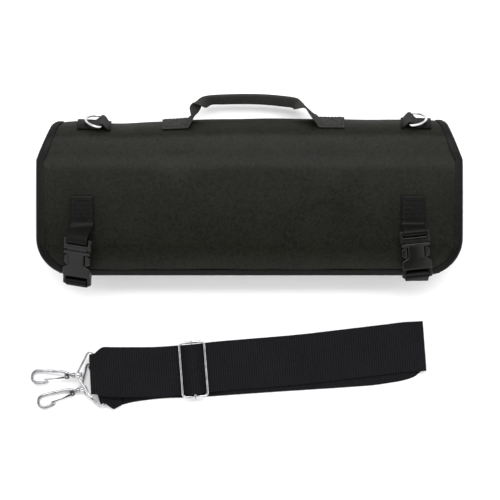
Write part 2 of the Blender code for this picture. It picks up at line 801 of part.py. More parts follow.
def fold_section(offset, folded):
    """Where a point of the webbing goes as its halves fold together: aside, and towards the fold."""
    reach = abs(offset)
    bend = HANDLE_FOLD_RADIUS * math.pi / 2
    if folded < 0.01:
        return offset, 0.0
    turn = folded * math.pi / 2
    rate = turn / bend
    inner = min(reach, bend)
    aside, inward = math.sin(rate * inner) / rate, (1 - math.cos(rate * inner)) / rate
    aside += (reach - inner) * math.cos(turn)
    inward += (reach - inner) * math.sin(turn)
    return math.copysign(aside, offset), inward


def carry_handle():
    """Webbing sewn to the spine at both ends, twisted into a step at the left and folded along the grip."""
    across = tab_rows()
    bend = HANDLE_FOLD_RADIUS * math.pi / 2 / (WEBBING_WIDTH / 2)
    fold_shares = [-bend, -bend / 2, 0.0, bend / 2, bend]
    shares = [share for _, share in across if abs(share) > 2 * bend] + fold_shares
    shares = sorted(shares)
    rows_at = {share: spine_row(TAB_RISE + share * WEBBING_WIDTH / 2) for share in shares}
    half = HANDLE_TAB_SPAN / 2
    left = (HANDLE_CENTRE - half, HANDLE_CENTRE - half + HANDLE_TAB_LENGTH)
    right = (HANDLE_CENTRE + half - HANDLE_TAB_LENGTH, HANDLE_CENTRE + half)

    def sewn(low, high):
        stations = sheet_stations(low, high)
        return [[on_sheet(x, rows_at[share], WEB_SEAT) for share in shares] for x in stations]

    middle_row = spine_row(TAB_RISE)
    start, end = (np.array(on_sheet(x, middle_row, WEB_SEAT)) for x in (left[1], right[0]))
    above, below = (spine_row(TAB_RISE + reach) for reach in (0.002, -0.002))
    lean = unit(on_sheet(left[1], above) - on_sheet(left[1], below))
    free = [[0.0, 0.0, 0.0, *lean, 0.0]]
    for along, reach, sink, side, folded in HANDLE_ROWS:
        free.append([along, reach, sink, *side, folded])
    free.append([1.0, 0.0, 0.0, *lean, 0.0])
    path = smooth_path(free, 2)
    spots = []
    for along, reach, sink, *_ in path:
        base = start + (end - start) * along
        spots.append(base + np.array((0.0, reach * HANDLE_REACH, -sink)))
    rows = []
    for number, (spot, line) in enumerate(zip(spots, path)):
        tangent = unit(spots[min(number + 1, len(spots) - 1)] - spots[max(number - 1, 0)])
        if number in (0, len(spots) - 1):
            tangent = np.array((1.0, 0.0, 0.0))
        side = unit(line[3:6])
        inward = unit(np.cross(tangent, side))
        folded = min(max(line[6], 0.0), 1.0)
        row = []
        for share in shares:
            aside, deep = fold_section(share * WEBBING_WIDTH / 2, folded)
            row.append(spot + side * aside + inward * deep)
        rows.append(row)
    return cloth_sheet("carry_handle", sewn(*left) + rows[1:-1] + sewn(*right), WEBBING_WALL, "webbing")


def ring_frame(spec):
    """Where a D-ring's bar lies: x away from the roll's middle, y along the bar, z outward."""
    x = spec["side"] * (SPINE_WIDTH / 2 - spec["inset"])
    row = spine_row(TAB_RISE)
    out = unit(on_sheet(x, row, 1.0) - on_sheet(x, row, 0.0))
    outward = spec["side"] * unit(middle_point(x + 0.008, row) - middle_point(x - 0.008, row))
    along = unit(np.cross(out, outward))
    out = np.cross(outward, along)
    frame = Matrix((outward, along, out)).transposed().to_4x4()
    frame.translation = Vector(on_sheet(x, row, PANEL_WALL / 2 + SEAT_GAP * 2 + RING_WIRE))
    return frame


def ring_tab(side, spec):
    """A short strip of webbing sewn to the spine, bridging the D-ring's bar."""
    frame = ring_frame(spec)
    across = tab_rows()
    x = spec["side"] * (SPINE_WIDTH / 2 - spec["inset"])
    hand = spec["side"]
    wrap = RING_WIRE + SEAT_GAP + WEBBING_WALL / 2
    foot = 3.2 * wrap

    def sewn(near, far):
        low, high = sorted((x + hand * near, x + hand * far))
        stations = sheet_stations(low, high)
        if hand * (far - near) < 0:
            stations.reverse()
        return [[on_sheet(spot, row, WEB_SEAT) for row, _ in across] for spot in stations]

    bridge = []
    half = hand * WEBBING_WIDTH / 2
    for angle in np.radians((150, 120, 90, 60, 30)):
        along, out = math.cos(angle) * wrap, math.sin(angle) * wrap
        bridge.append([frame @ Vector((along, -share * half, out)) for _, share in across])
    rows = sewn(-spec["inner"], -foot) + bridge + sewn(foot, spec["outer"])
    return cloth_sheet(f"dring_tab_{side}", rows, WEBBING_WALL, "webbing")


def dring(side, spec):
    """A wire D whose bar is the hinge; it lies outwards over its tab."""
    half = RING_WIDTH / 2 + RING_WIRE
    corner = 0.003
    deep = RING_DEPTH - RING_WIRE
    points = [(0.0, -half + corner, 0.0), (0.0, half - corner, 0.0)]
    points += [(corner * (1 - math.cos(a)), half - corner * (1 - math.sin(a)), 0.0) for a in (0.6, 1.1)]
    for angle in np.radians(np.arange(0, 181, 20)):
        points.append((corner + (deep - corner) * math.sin(angle), half * math.cos(angle), 0.0))
    points += [(corner * (1 - math.cos(a)), -half + corner * (1 - math.sin(a)), 0.0) for a in (1.1, 0.6)]
    ring = tube("ring", points, RING_WIRE, closed=True)
    ring.matrix_world = ring_frame(spec) @ Matrix.Rotation(math.radians(-RING_TILT), 4, "Y")
    return as_part(f"dring_{side}", ring, "metal")


def strap_axis():
    """The strap's straight axis on the floor: its left end and its direction."""
    direction = np.array((math.cos(math.radians(STRAP_TILT)), math.sin(math.radians(STRAP_TILT)), 0.0))
    right_y = FLAP_EDGE_Y - STRAP_FROM_FLAP - STRAP_WIDTH / 2
    right = np.array((FLAP_WIDTH / 2 - STRAP_OVERHANG, right_y, 0.0))
    return right - direction * STRAP_FOLDED, direction


def strap_spot(along, across, height):
    """A point over the strap: distance along its axis, distance to the axis's left, and height."""
    start, direction = strap_axis()
    side = np.array((-direction[1], direction[0], 0.0))
    return start + direction * along + side * across + np.array((0.0, 0.0, FLOOR_GAP + height))


def hook_frame(spec):
    """A hook's ring: x outwards from the bar to the swivel, y along the bar, z up."""
    heading = Matrix.Rotation(math.radians(STRAP_TILT + 180.0 - spec["heading"]), 4, "Z")
    pitch = Matrix.Rotation(math.radians(spec["pitch"]), 4, "Y")
    spot = strap_spot(spec["along"], spec["across"] * STRAP_WIDTH, spec["bar"])
    return Matrix.Translation(spot) @ heading @ pitch


def ring_side(frame):
    """The direction along a ring's bar towards the strap's left edge."""
    return -np.array(frame.col[1].to_3d())


def shoulder_webbing():
    """One ribbon: from the slider's middle bar to hook a, back through the slider, and under to hook b."""
    direction = strap_axis()[1]
    plain = np.array((-direction[1], direction[0], 0.0))
    rings = {name: hook_frame(spec) for name, spec in HOOKS.items()}
    wrap = HOOK_RING_WIRE + SEAT_GAP + STRAP_WALL / 2
    bottom = STRAP_WALL / 2
    second, top = bottom + LAYER_PITCH, bottom + 2 * LAYER_PITCH - 0.0001
    bar_wrap = SLIDER_WIRE + SEAT_GAP + STRAP_WALL / 2
    bars = slider_height()
    rows = []

    def add(spot, side=plain, width=STRAP_WIDTH):
        spot = np.asarray(spot, float)
        rows.append([spot - side * (width / 2), spot + side * (width / 2)])

    def lay(along, height, drift, ring=None):
        """A row of a lying ply, narrowed and turned where it nears its ring."""
        side, width = plain, STRAP_WIDTH
        if ring:
            away = max(0.0, along - HOOKS[ring]["along"])
            width = STRAP_NECK + (STRAP_WIDTH - STRAP_NECK) * smoothstep(away / WIDEN_LENGTH)
            turned = smoothstep(away / STRAIGHTEN_LENGTH)
            side = unit(ring_side(rings[ring]) * (1 - turned) + plain * turned)
        add(strap_spot(along, table(drift, along / STRAP_FOLDED) * STRAP_WIDTH, height), side, width)

    def wrap_ring(ring):
        """Rows round a ring's bar from below it, out and over."""
        for angle in np.radians((-90, -55, -20, 20, 55, 90)):
            spot = rings[ring] @ Vector((wrap * math.cos(angle), 0.0, wrap * math.sin(angle)))
            add(spot, ring_side(rings[ring]), STRAP_NECK)

    for angle in np.radians((170, 130, 90, 45, 0, -45, -90)):
        lay(SLIDER_PLACE + bar_wrap * math.cos(angle), bars + bar_wrap * math.sin(angle), TOP_DRIFT)
    for away, rise in ((0.0045, 0.0016), (0.008, 0.0006), (0.0127, 0.0), (0.034, 0.0)):
        lay(SLIDER_PLACE - away, second + rise, TOP_DRIFT)
    bar_a = HOOKS["a"]["bar"]
    for along, fall in ((0.042, 0.0), (0.032, 0.22), (0.022, 0.54), (0.012, 0.86)):
        lay(along, second + fall * (bar_a - wrap - second), TOP_DRIFT, "a")
    wrap_ring("a")
    for along, fall in ((0.012, 0.76), (0.022, 0.46), (0.032, 0.25), (0.045, 0.0)):
        lay(along, top + fall * (bar_a + wrap - top), TOP_DRIFT, "a")
    hump = bars + bar_wrap + STRAP_WALL + PLY_GAP
    inside = SLIDER_LENGTH / 2
    climb = ((1.5, 0.0), (1.0, 0.0), (0.75, 0.13), (0.51, 0.47), (0.27, 0.85))
    for share, rise in climb:
        lay(SLIDER_PLACE - share * inside, top + rise * (hump - top), TOP_DRIFT)
    lay(SLIDER_PLACE, hump, TOP_DRIFT)
    for share, rise in reversed(climb[1:]):
        lay(SLIDER_PLACE + share * inside, top + rise * (hump - top), TOP_DRIFT)
    fold = STRAP_FOLDED - FOLD_RADIUS - STRAP_WALL / 2
    for along, height in ((SLIDER_PLACE + 0.02, top - 0.0007), (SLIDER_PLACE + 0.032, second)):
        lay(along, height, TOP_DRIFT)
    for share in (0.48, 0.6, 0.7, 0.8, 0.89, 0.945):
        lay(share * STRAP_FOLDED, second, TOP_DRIFT)
    lay(fold - 0.008, second + 0.0010, TOP_DRIFT)
    for angle in np.radians((90, 50, 15, -20, -55, -90)):
        lay(fold + FOLD_RADIUS * math.cos(angle), bottom + FOLD_RADIUS * (1 + math.sin(angle)), TOP_DRIFT)
    for share in (0.96, 0.92, 0.84, 0.74, 0.64, 0.54, 0.44, 0.34, 0.27, 0.2, 0.15, 0.11):
        lay(share * STRAP_FOLDED, bottom, BOTTOM_DRIFT)
    for along in (0.027, 0.020, 0.013):
        lay(along, bottom, BOTTOM_DRIFT, "b")
    wrap_ring("b")
    bar_b = HOOKS["b"]["bar"]
    for along, fall in ((0.011, 0.78), (0.016, 0.5), (0.022, 0.14), (TURN_BACK, 0.0)):
        lay(along, second + fall * (bar_b + wrap - second), BOTTOM_DRIFT, "b")
    return cloth_sheet("shoulder_webbing", rows, STRAP_WALL, "strap")


def slider_height():
    """Height of the slider's bars over the webbing that passes under its outer ones."""
    return STRAP_WALL / 2 + 2 * LAYER_PITCH + STRAP_WALL / 2 + SEAT_GAP + SLIDER_WIRE


def strap_slider():
    """A wire rectangle with a middle bar whose ends stand proud of its sides."""
    half = STRAP_WIDTH / 2 + 0.001 + SLIDER_WIRE
    long = SLIDER_LENGTH / 2
    corner = 0.004
    points = []
    for x, y, first in ((long, half, 0), (-long, half, 90), (-long, -half, 180), (long, -half, 270)):
        centre = (x - math.copysign(corner, x), y - math.copysign(corner, y))
        for angle in np.radians((first, first + 30, first + 60, first + 90)):
            points.append((centre[0] + corner * math.cos(angle), centre[1] + corner * math.sin(angle), 0.0))
    body = tube("slider", points, SLIDER_WIRE, closed=True)
    reach = half + SLIDER_WIRE * 1.45
    bar = rod("slider_bar", SLIDER_WIRE, (0, -reach, 0), (0, reach, 0), 10)
    drift = table(TOP_DRIFT, SLIDER_PLACE / STRAP_FOLDED) * STRAP_WIDTH
    spot = Vector(strap_spot(SLIDER_PLACE, drift, slider_height()))
    place(body, [bar], Matrix.Translation(spot) @ Matrix.Rotation(math.radians(STRAP_TILT), 4, "Z"))
    return as_part("strap_slider", combine(body, [bar], "UNION"), "metal")


def hook_ring(name, spec):
    """The wire loop that the strap is folded round, with the swivel's barrel at its tip."""
    half = STRAP_NECK / 2 + 0.0028
    side = [(HOOK_RING_DEPTH * x, half * y, 0.0) for x, y in RING_OUTLINE]
    loop = tube("loop", side + [(x, -y, 0.0) for x, y, _ in reversed(side)], HOOK_RING_WIRE)
    ends = (HOOK_RING_DEPTH - BARREL_LENGTH / 2, HOOK_RING_DEPTH + BARREL_LENGTH / 2)
    barrel = rod("barrel", BARREL_RADIUS, (ends[0], 0, 0), (ends[1], 0, 0), 14)
    bore = rod("bore", HOOK_STEM + BORE_GAP, (ends[0] - 0.01, 0, 0), (ends[1] + 0.01, 0, 0), 14)
    place(loop, [barrel, bore], hook_frame(spec))
    combine(loop, [barrel], "UNION")
    combine(loop, [bore], "DIFFERENCE")
    return as_part(f"hook_ring_{name}", loop, "metal")


def swivel_frame(spec):
    """A hook's swivel: x out along its stem, its open side towards the roll."""
    return hook_frame(spec) @ Matrix.Translation((HOOK_RING_DEPTH, 0, 0)) @ Matrix.Rotation(math.pi, 4, "X")


def swivel_hook(name, spec):
    """The hook with its stem through the barrel, and the ears that hold the gate's pin."""
    end = BARREL_LENGTH / 2 + SEAT_GAP
    head = BARREL_RADIUS - 0.0001
    stem = rod("stem", HOOK_STEM, (-end - 0.0012, 0, 0), (end + 0.002, 0, 0), 14)
    cap = rod("cap", head, (-end - 0.0016, 0, 0), (-end, 0, 0), 14)
    collar = rod("collar", head + 0.0002, (end, 0, 0), (end + 0.0025, 0, 0), 14)
    back = [(end + 0.0018, 0.0), (0.008, 0.001), (0.011, 0.0024), (0.014, 0.0036), (0.024, 0.0050)]
    back += [(HOOK_LENGTH - 0.004, HOOK_BEND)]
    bend = []
    for angle in np.radians(range(0, 181, 20)):
        bend.append((HOOK_LENGTH + HOOK_BEND * math.sin(angle), HOOK_BEND * math.cos(angle)))
    nose = [(HOOK_LENGTH - 0.005, -HOOK_BEND + 0.0002), (HOOK_LENGTH - 0.009, -HOOK_BEND + 0.0008)]
    wire = tube("hook_wire", [(x, y, 0.0) for x, y in back + bend + nose], HOOK_WIRE)
    ears = []
    pin_x, pin_y = GATE_HINGE
    inside = GATE_EYE_HALF + PIN_GAP
    for hand in (-1, 1):
        low, high = sorted((hand * inside, hand * (inside + EAR_WALL)))
        foot = (pin_x - EAR_HALF, pin_y - 0.0020, low)
        ears.append(block(f"ear_{hand}", foot, (pin_x + EAR_HALF, pin_y + 0.0042, high)))
    reach = inside + EAR_WALL - 0.00015
    pin = rod("pin", GATE_PIN, (pin_x, pin_y, -reach), (pin_x, pin_y, reach), 10)
    tools = [stem, cap, collar, *ears, pin]
    place(wire, tools, swivel_frame(spec))
    return as_part(f"hook_{name}", combine(wire, tools, "UNION"), "metal")


def hook_gate(name, spec):
    """The sprung gate: an eye on the pin and a lever closing on the hook's nose from inside."""
    pin_x, pin_y = GATE_HINGE
    eye = GATE_PIN + PIN_GAP + 0.0008
    tip_x = HOOK_LENGTH - 0.0062
    tip_y = -HOOK_BEND + 0.0008 + HOOK_WIRE + PIN_GAP + GATE_WALL / 2
    low, high = tip_y - GATE_WALL / 2, tip_y + GATE_WALL / 2
    arc = [(pin_x + eye * math.cos(a), pin_y + eye * math.sin(a)) for a in np.radians(range(40, 311, 30))]
    outline = arc + [(tip_x - 0.012, low), (tip_x, low), (tip_x, high), (tip_x - 0.012, high)]
    hole = [
        (pin_x + (GATE_PIN + PIN_GAP) * math.cos(a), pin_y + (GATE_PIN + PIN_GAP) * math.sin(a))
        for a in np.radians(range(0, 360, 36))
    ]
    gate = plate("gate", [outline, hole], 2 * GATE_EYE_HALF)
    gate.matrix_world = swivel_frame(spec)
    return as_part(f"gate_{name}", gate, "metal")


roll_panel()
edge_binding()
carry_handle()
for side, spec in BUCKLES.items():
    buckle_upper_strap(side, spec)
    buckle_lower_strap(side, spec)
    buckle_plug(side, spec)
    buckle_socket(side, spec)
for side, spec in RING_TABS.items():
    ring_tab(side, spec)
    dring(side, spec)
shoulder_webbing()
strap_slider()
for name, spec in HOOKS.items():
    hook_ring(name, spec)
    swivel_hook(name, spec)
    hook_gate(name, spec)
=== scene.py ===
import math
import bpy
import numpy as np
from mathutils import Matrix, Vector


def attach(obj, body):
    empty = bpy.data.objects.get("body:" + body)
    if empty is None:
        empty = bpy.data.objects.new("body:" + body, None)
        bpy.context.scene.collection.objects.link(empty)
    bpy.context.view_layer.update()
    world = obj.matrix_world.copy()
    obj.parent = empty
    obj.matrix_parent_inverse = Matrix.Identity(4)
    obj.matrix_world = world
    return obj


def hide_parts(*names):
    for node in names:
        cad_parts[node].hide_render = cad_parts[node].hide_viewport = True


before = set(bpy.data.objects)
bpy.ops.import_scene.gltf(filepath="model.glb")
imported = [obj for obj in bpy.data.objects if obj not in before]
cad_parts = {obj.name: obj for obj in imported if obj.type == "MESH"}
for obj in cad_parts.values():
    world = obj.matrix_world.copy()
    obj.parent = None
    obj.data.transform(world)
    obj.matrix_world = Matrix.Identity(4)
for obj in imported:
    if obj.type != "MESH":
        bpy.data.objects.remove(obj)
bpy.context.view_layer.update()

print("frame loaded")

# the padded sheet's shape in metres, as the solid has it
sheet = {
    "flapWidth": 0.425, "spineWidth": 0.395, "bodyWidth": 0.384, "rollHeight": 0.052, "wall": 0.0035,
    "layerGap": 0.0036, "flatDepth": 0.090, "spineY": 0.044, "spineBulge": 0.034, "noseBulge": 0.027,
    "flapBulge": 0.037, "flapFall": 0.026, "flapEndAngle": 35.0, "flapCorner": 0.036,
    "chamferDepth": 0.0405, "innerTuck": 0.004, "endDrop": 0.0035, "endLift": 0.0016, "crownDrop": 0.003,
    "bendDip": 0.0016, "cornerCut": 0.0038, "cornerRun": 0.0065,
}
# how far the spine is pulled in along the roll: share of half width, share of the bulge
spinePulls = np.array([
    (-1.00, -0.12), (-0.93, -0.07), (-0.88, -0.05), (-0.81, -0.06), (-0.73, -0.12), (-0.66, -0.14),
    (-0.60, -0.13), (-0.52, -0.095), (-0.45, -0.07), (-0.30, -0.02), (-0.12, 0.01), (0.25, 0.01),
    (0.50, 0.00), (0.81, -0.02), (0.95, -0.03), (1.00, -0.08),
])
web = {"width": 0.023, "wall": 0.0016, "seat": 0.0004, "plyGap": 0.0003, "rounding": 0.0006}


# numbers and curves

def unit(vectors):  # each vector divided by its own length
    vectors = np.asarray(vectors, float)
    return vectors / np.maximum(np.linalg.norm(vectors, axis=-1, keepdims=True), 1e-12)


def ease(t):  # 3t^2 - 2t^3 between 0 and 1
    t = np.clip(t, 0.0, 1.0)
    return t * t * (3 - 2 * t)


def carried(rows, step):
    # rows of points joined by cubic curves whose slopes are the length-weighted means of the
    # chords on either side, then read again every step metres
    rows = np.asarray(rows, float)
    flat = rows.reshape(len(rows), -1)
    gaps = np.linalg.norm(np.diff(flat, axis=0), axis=1) / math.sqrt(flat.shape[1] / 3)
    places = np.concatenate(([0.0], np.cumsum(gaps)))
    chords = np.diff(flat, axis=0) / gaps[:, None]
    before, after = gaps[:-1, None], gaps[1:, None]
    inside = (chords[:-1] * after + chords[1:] * before) / (before + after)
    slopes = np.vstack((chords[:1], inside, chords[-1:]))
    spots = np.linspace(0.0, places[-1], max(3, int(math.ceil(places[-1] / step)) + 1))
    low = np.clip(np.searchsorted(places, spots, "right") - 1, 0, len(gaps) - 1)
    gap = gaps[low][:, None]
    t = (spots - places[low])[:, None] / gap
    out = (2 * t**3 - 3 * t**2 + 1) * flat[low] + (t**3 - 2 * t**2 + t) * gap * slopes[low]
    out += (3 * t**2 - 2 * t**3) * flat[low + 1] + (t**3 - t**2) * gap * slopes[low + 1]
    return out.reshape(-1, *rows.shape[1:])


def lengths(points, axis):
    # running length of a grid of points along one of its two ways
    steps = np.linalg.norm(np.diff(points, axis=axis), axis=-1)
    start = np.zeros_like(np.take(steps, [0], axis=axis))
    return np.concatenate((start, np.cumsum(steps, axis=axis)), axis=axis)


def resampled(line, spacing):
    # a line of any number of values, read again at even distances along it
    run = np.concatenate(([0.0], np.cumsum(np.linalg.norm(np.diff(line, axis=0), axis=1))))
    spots = np.linspace(0.0, run[-1], int(run[-1] / spacing))
    return np.stack([np.interp(spots, run, values) for values in line.T], -1)


def smoothed(rows, passes):  # each inner row becomes half of itself and a quarter of each neighbour
    for _ in range(passes):
        rows[1:-1] = (rows[:-2] + 2 * rows[1:-1] + rows[2:]) / 4
    return rows


def arc(x, y, across, up, degrees):
    # points round a centre at angles from +x towards +y, on a circle or an ellipse
    angle = np.radians(degrees)
    return np.stack((x + across * np.cos(angle), y + up * np.sin(angle)), -1)


# shapes: each is (points, faces, uv), with uv in metres along and across

def gridShape(points, around=False, loop=False, caps=False):
    # a grid of points as quads, wrapped across and along where asked, its ends shut by one face each
    rows, cols = points.shape[:2]
    uv = np.stack((lengths(points, 0), lengths(points, 1)), -1)
    index = np.arange(rows * cols).reshape(rows, cols)
    if around:
        index = np.hstack((index, index[:, :1]))
    if loop:
        index = np.vstack((index, index[:1]))
    quads = np.stack((index[:-1, :-1], index[:-1, 1:], index[1:, 1:], index[1:, :-1]), -1).reshape(-1, 4)
    faces = quads.tolist()
    if caps:
        faces += [np.arange(cols)[::-1].tolist(), (np.arange(cols) + (rows - 1) * cols).tolist()]
    return points.reshape(-1, 3), faces, uv.reshape(-1, 2)


def shell(middle, wall, rounding, edgeShare=0.3):
    # both faces of a sheet: its middle grid moved half a wall each way along its normal, the cross
    # product of its two directions, the wall falling along a quarter circle within rounding of its sides
    across, along = np.gradient(middle, axis=1), np.gradient(middle, axis=0)
    normal = unit(np.cross(across, along))
    run = lengths(middle, 1)
    toEdge = np.minimum(run, run[:, -1:] - run)
    fall = np.sqrt(np.clip(1 - (1 - np.clip(toEdge / rounding, 0, 1)) ** 2, 0, 1))
    half = (wall / 2 * (edgeShare + (1 - edgeShare) * fall))[..., None]
    both = np.concatenate((middle + normal * half, (middle - normal * half)[:, ::-1]), axis=1)
    points, faces, _ = gridShape(both, around=True)
    rows, cols = middle.shape[:2]
    index = np.arange(len(points)).reshape(rows, 2 * cols)
    top, low = index[:, :cols], index[:, cols:][:, ::-1]
    first = np.stack((top[0, :-1], low[0, :-1], low[0, 1:], top[0, 1:]), -1)
    last = np.stack((top[-1, :-1], top[-1, 1:], low[-1, 1:], low[-1, :-1]), -1)
    down = np.broadcast_to(lengths(middle, 0)[:, cols // 2][:, None], run.shape)
    uv = np.stack((down, run - run[:, -1:] / 2), -1)
    uv = np.concatenate((uv, uv[:, ::-1]), axis=1)
    return points, faces + np.vstack((first, last)).tolist(), uv.reshape(-1, 2)


def acrossShares(cols, crowd=2.2):
    # shares from -1 to 1 that crowd towards both sides
    t = np.linspace(-1, 1, cols)
    return np.sign(t) * (1 - (1 - np.abs(t)) ** crowd)


def webbing(rows, wall, step=0.001, cols=14, rounding=0.0006, ripple=0.0, ripplePitch=0.0024):
    # rows of (one side, other side) smoothed along, filled across by straight lines, and given a wall;
    # ripple moves both sides in and out as a sine of the length along
    sides = carried(rows, step)
    run = lengths(sides, 0).mean(axis=1)
    centre, half = sides.mean(axis=1), (sides[:, 1] - sides[:, 0]) / 2
    width = np.linalg.norm(half, axis=1)
    half = half * (1 + ripple * np.sin(2 * math.pi * run / ripplePitch) / width)[:, None]
    shares = acrossShares(cols)[None, :, None]
    middle = centre[:, None] + half[:, None] * shares
    return shell(middle, wall, rounding), run[-1], 2 * width.mean()


def wire(path, radii, loop=False, sides=14):
    # a round wire along a level path: circles of the given radii, each square to the path
    path, up = np.asarray(path, float), np.array((0.0, 0.0, 1.0))
    if loop:
        tangent = unit(np.roll(path, -1, axis=0) - np.roll(path, 1, axis=0))
    else:
        tangent = unit(np.gradient(path, axis=0))
    out = unit(np.cross(up, tangent))
    angle = np.linspace(0, 2 * math.pi, sides, endpoint=False)[None, :, None]
    radii = np.broadcast_to(np.asarray(radii, float), (len(path),))[:, None, None]
    points = path[:, None] + radii * (out[:, None] * np.cos(angle) + up * np.sin(angle))
    return gridShape(points, around=True, loop=loop, caps=not loop)


def rod(path, radius, steps=5):
    # a round wire along a level open path, each end closed by a quarter circle of falling radii
    path = np.asarray(path, float)
    angle = np.linspace(0, math.pi / 2 * 0.97, steps)[1:]
    first, last = unit(path[0] - path[1]), unit(path[-1] - path[-2])
    reach, shrink = (np.sin(angle) * radius)[:, None], np.cos(angle) * radius
    start, end = (path[0] + first * reach)[::-1], path[-1] + last * reach
    radii = np.concatenate((shrink[::-1], np.full(len(path), radius), shrink))
    return wire(np.vstack((start, path, end)), radii)


def turned(profile, sides=28):
    # a profile of (distance along x, radius) turned about the x axis
    profile = np.asarray(profile, float)
    angle = np.linspace(0, 2 * math.pi, sides, endpoint=False)
    x = np.broadcast_to(profile[:, :1], (len(profile), sides))
    y, z = profile[:, 1:] * np.cos(angle), profile[:, 1:] * np.sin(angle)
    return gridShape(np.stack((x, y, z), -1), around=True, caps=True)


def rounded(outline, radius, steps=3):
    # each corner of an outline cut by a short quadratic curve, its ends at most radius from the corner
    before, after = np.roll(outline, 1, axis=0) - outline, np.roll(outline, -1, axis=0) - outline
    reachBefore = np.minimum(radius, 0.42 * np.linalg.norm(before, axis=1))[:, None]
    reachAfter = np.minimum(radius, 0.42 * np.linalg.norm(after, axis=1))[:, None]
    start, end = outline + unit(before) * reachBefore, outline + unit(after) * reachAfter
    t = np.linspace(0, 1, steps + 1)[None, :, None]
    curve = start[:, None] * (1 - t) ** 2 + 2 * outline[:, None] * t * (1 - t) + end[:, None] * t**2
    return curve.reshape(-1, 2)


def slab(outline, thickness, edge, radius=0.0006, crown=0.0, steps=4):
    # a flat outline (counterclockwise) made thick about z = 0: each ring of its rim is the outline moved in
    # by a quarter circle's fall, along the mean of its two side normals, and rounded; crown drops the sides
    outline = np.asarray(outline, float)
    before = unit(outline - np.roll(outline, 1, axis=0))
    after = unit(np.roll(outline, -1, axis=0) - outline)
    normals = np.stack((before[:, 1], -before[:, 0]), -1), np.stack((after[:, 1], -after[:, 0]), -1)
    miter = (normals[0] + normals[1]) / np.maximum((1 + np.sum(normals[0] * normals[1], axis=1))[:, None], 0.5)
    angle = np.linspace(0, math.pi / 2, steps)
    fall, climb = edge * (1 - np.sin(angle)), edge * (1 - np.cos(angle))
    insets = np.concatenate((fall, fall[::-1]))
    heights = np.concatenate((climb - thickness / 2, (thickness / 2 - climb)[::-1]))
    rings = np.array([rounded(outline - miter * inset, radius) for inset in insets])
    z = np.broadcast_to(heights[:, None, None], rings.shape[:2] + (1,))
    points = np.concatenate((rings, z), axis=2)
    reach = np.abs(points[..., 0]) / np.abs(outline[:, 0]).max()
    points[..., 2] *= 1 - crown * reach**2
    return gridShape(points, around=True, caps=True)


def moved(shape, matrix):
    # a shape carried to its place by a matrix
    points, faces, uv = shape
    matrix = np.array(matrix)
    return points @ matrix[:3, :3].T + matrix[:3, 3], faces, uv


thread = {"pitch": 0.0034, "length": 0.0026, "radius": 0.00028, "taper": 0.92, "bow": 0.45, "rings": 5, "sides": 5}


def stitching(path, normals):
    # short bent pellets along a path: each a row of rings whose radius is a half ellipse of its length
    run = lengths(path[:, None], 0)[:, 0]
    count, rings, sides = max(1, int(run[-1] / thread["pitch"])), thread["rings"], thread["sides"]
    along, around = np.linspace(-1, 1, rings), np.linspace(0, 2 * math.pi, sides, endpoint=False)
    centre = (np.arange(count) + 0.5) * (run[-1] / count)
    spots = centre[:, None] + along[None] * thread["length"] / 2

    def read(values, at):
        return np.stack([np.interp(at, run, values[:, axis]) for axis in range(3)], -1)

    spot, up = read(path, spots), unit(read(normals, spots))
    ahead = unit(read(path, spots + 0.0002) - read(path, spots - 0.0002))
    side = unit(np.cross(ahead, up))
    size = thread["radius"] * np.sqrt(1 - thread["taper"] * along**2)[None, :, None, None]
    lift = thread["radius"] * thread["bow"] * (1 - along**2)[None, :, None]
    turn = around[None, None, :, None]
    circle = side[:, :, None] * np.cos(turn) + up[:, :, None] * np.sin(turn)
    points = (spot + up * lift)[:, :, None] + size * circle
    index = np.arange(count * rings * sides).reshape(count, rings, sides)
    ring = np.concatenate((index, index[:, :, :1]), axis=2)
    quads = np.stack((ring[:, :-1, 1:], ring[:, :-1, :-1], ring[:, 1:, :-1], ring[:, 1:, 1:]), -1).reshape(-1, 4)
    ends = np.vstack((index[:, 0], index[:, -1, ::-1]))
    flat = points.reshape(-1, 3)
    return flat, quads.tolist() + ends.tolist(), np.zeros((len(flat), 2))


def piece(name, shapes, finish, body="roll", nodes=(), sharp=50, place=None):
    # shapes carried to their place and joined in one mesh with its uv map, smooth but for sharp edges
    points, faces, uvs, base = [], [], [], 0
    for shape in shapes:
        shapePoints, shapeFaces, uv = shape if place is None else moved(shape, place)
        points.append(shapePoints)
        uvs.append(uv)
        faces += [[corner + base for corner in face] for face in shapeFaces]
        base += len(shapePoints)
    mesh = bpy.data.meshes.new(name)
    mesh.from_pydata(np.concatenate(points).tolist(), [], faces)
    corners = np.empty(len(mesh.loops), int)
    mesh.loops.foreach_get("vertex_index", corners)
    layer = mesh.uv_layers.new(name="cloth")
    layer.data.foreach_set("uv", np.concatenate(uvs)[corners].ravel())
    mesh.materials.append(finishes[finish])
    mesh.validate()
    mesh.shade_smooth()
    mesh.set_sharp_from_angle(angle=math.radians(sharp))
    thing = bpy.data.objects.new(name, mesh)
    bpy.context.scene.collection.objects.link(thing)
    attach(thing, body)
    if nodes:
        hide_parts(*nodes)
    return thing


# shader groups

def newGroup(name, inputs, outputs):
    # a group whose inputs are numbers, or a vector where no value is given, and whose outputs are numbers
    group = bpy.data.node_groups.new(name, "ShaderNodeTree")
    for label, value in inputs.items():
        kind = "NodeSocketVector" if value is None else "NodeSocketFloat"
        socket = group.interface.new_socket(label, in_out="INPUT", socket_type=kind)
        if value is not None:
            socket.default_value = value
    for label in outputs:
        group.interface.new_socket(label, in_out="OUTPUT", socket_type="NodeSocketFloat")
    return group, group.nodes.new("NodeGroupInput"), group.nodes.new("NodeGroupOutput")


def maths(tree, operation, *values):  # a maths node on numbers or sockets
    node = tree.nodes.new("ShaderNodeMath")
    node.operation = operation
    for socket, value in zip(node.inputs, values):
        if isinstance(value, (int, float)):
            socket.default_value = value
        else:
            tree.links.new(value, socket)
    return node.outputs[0]


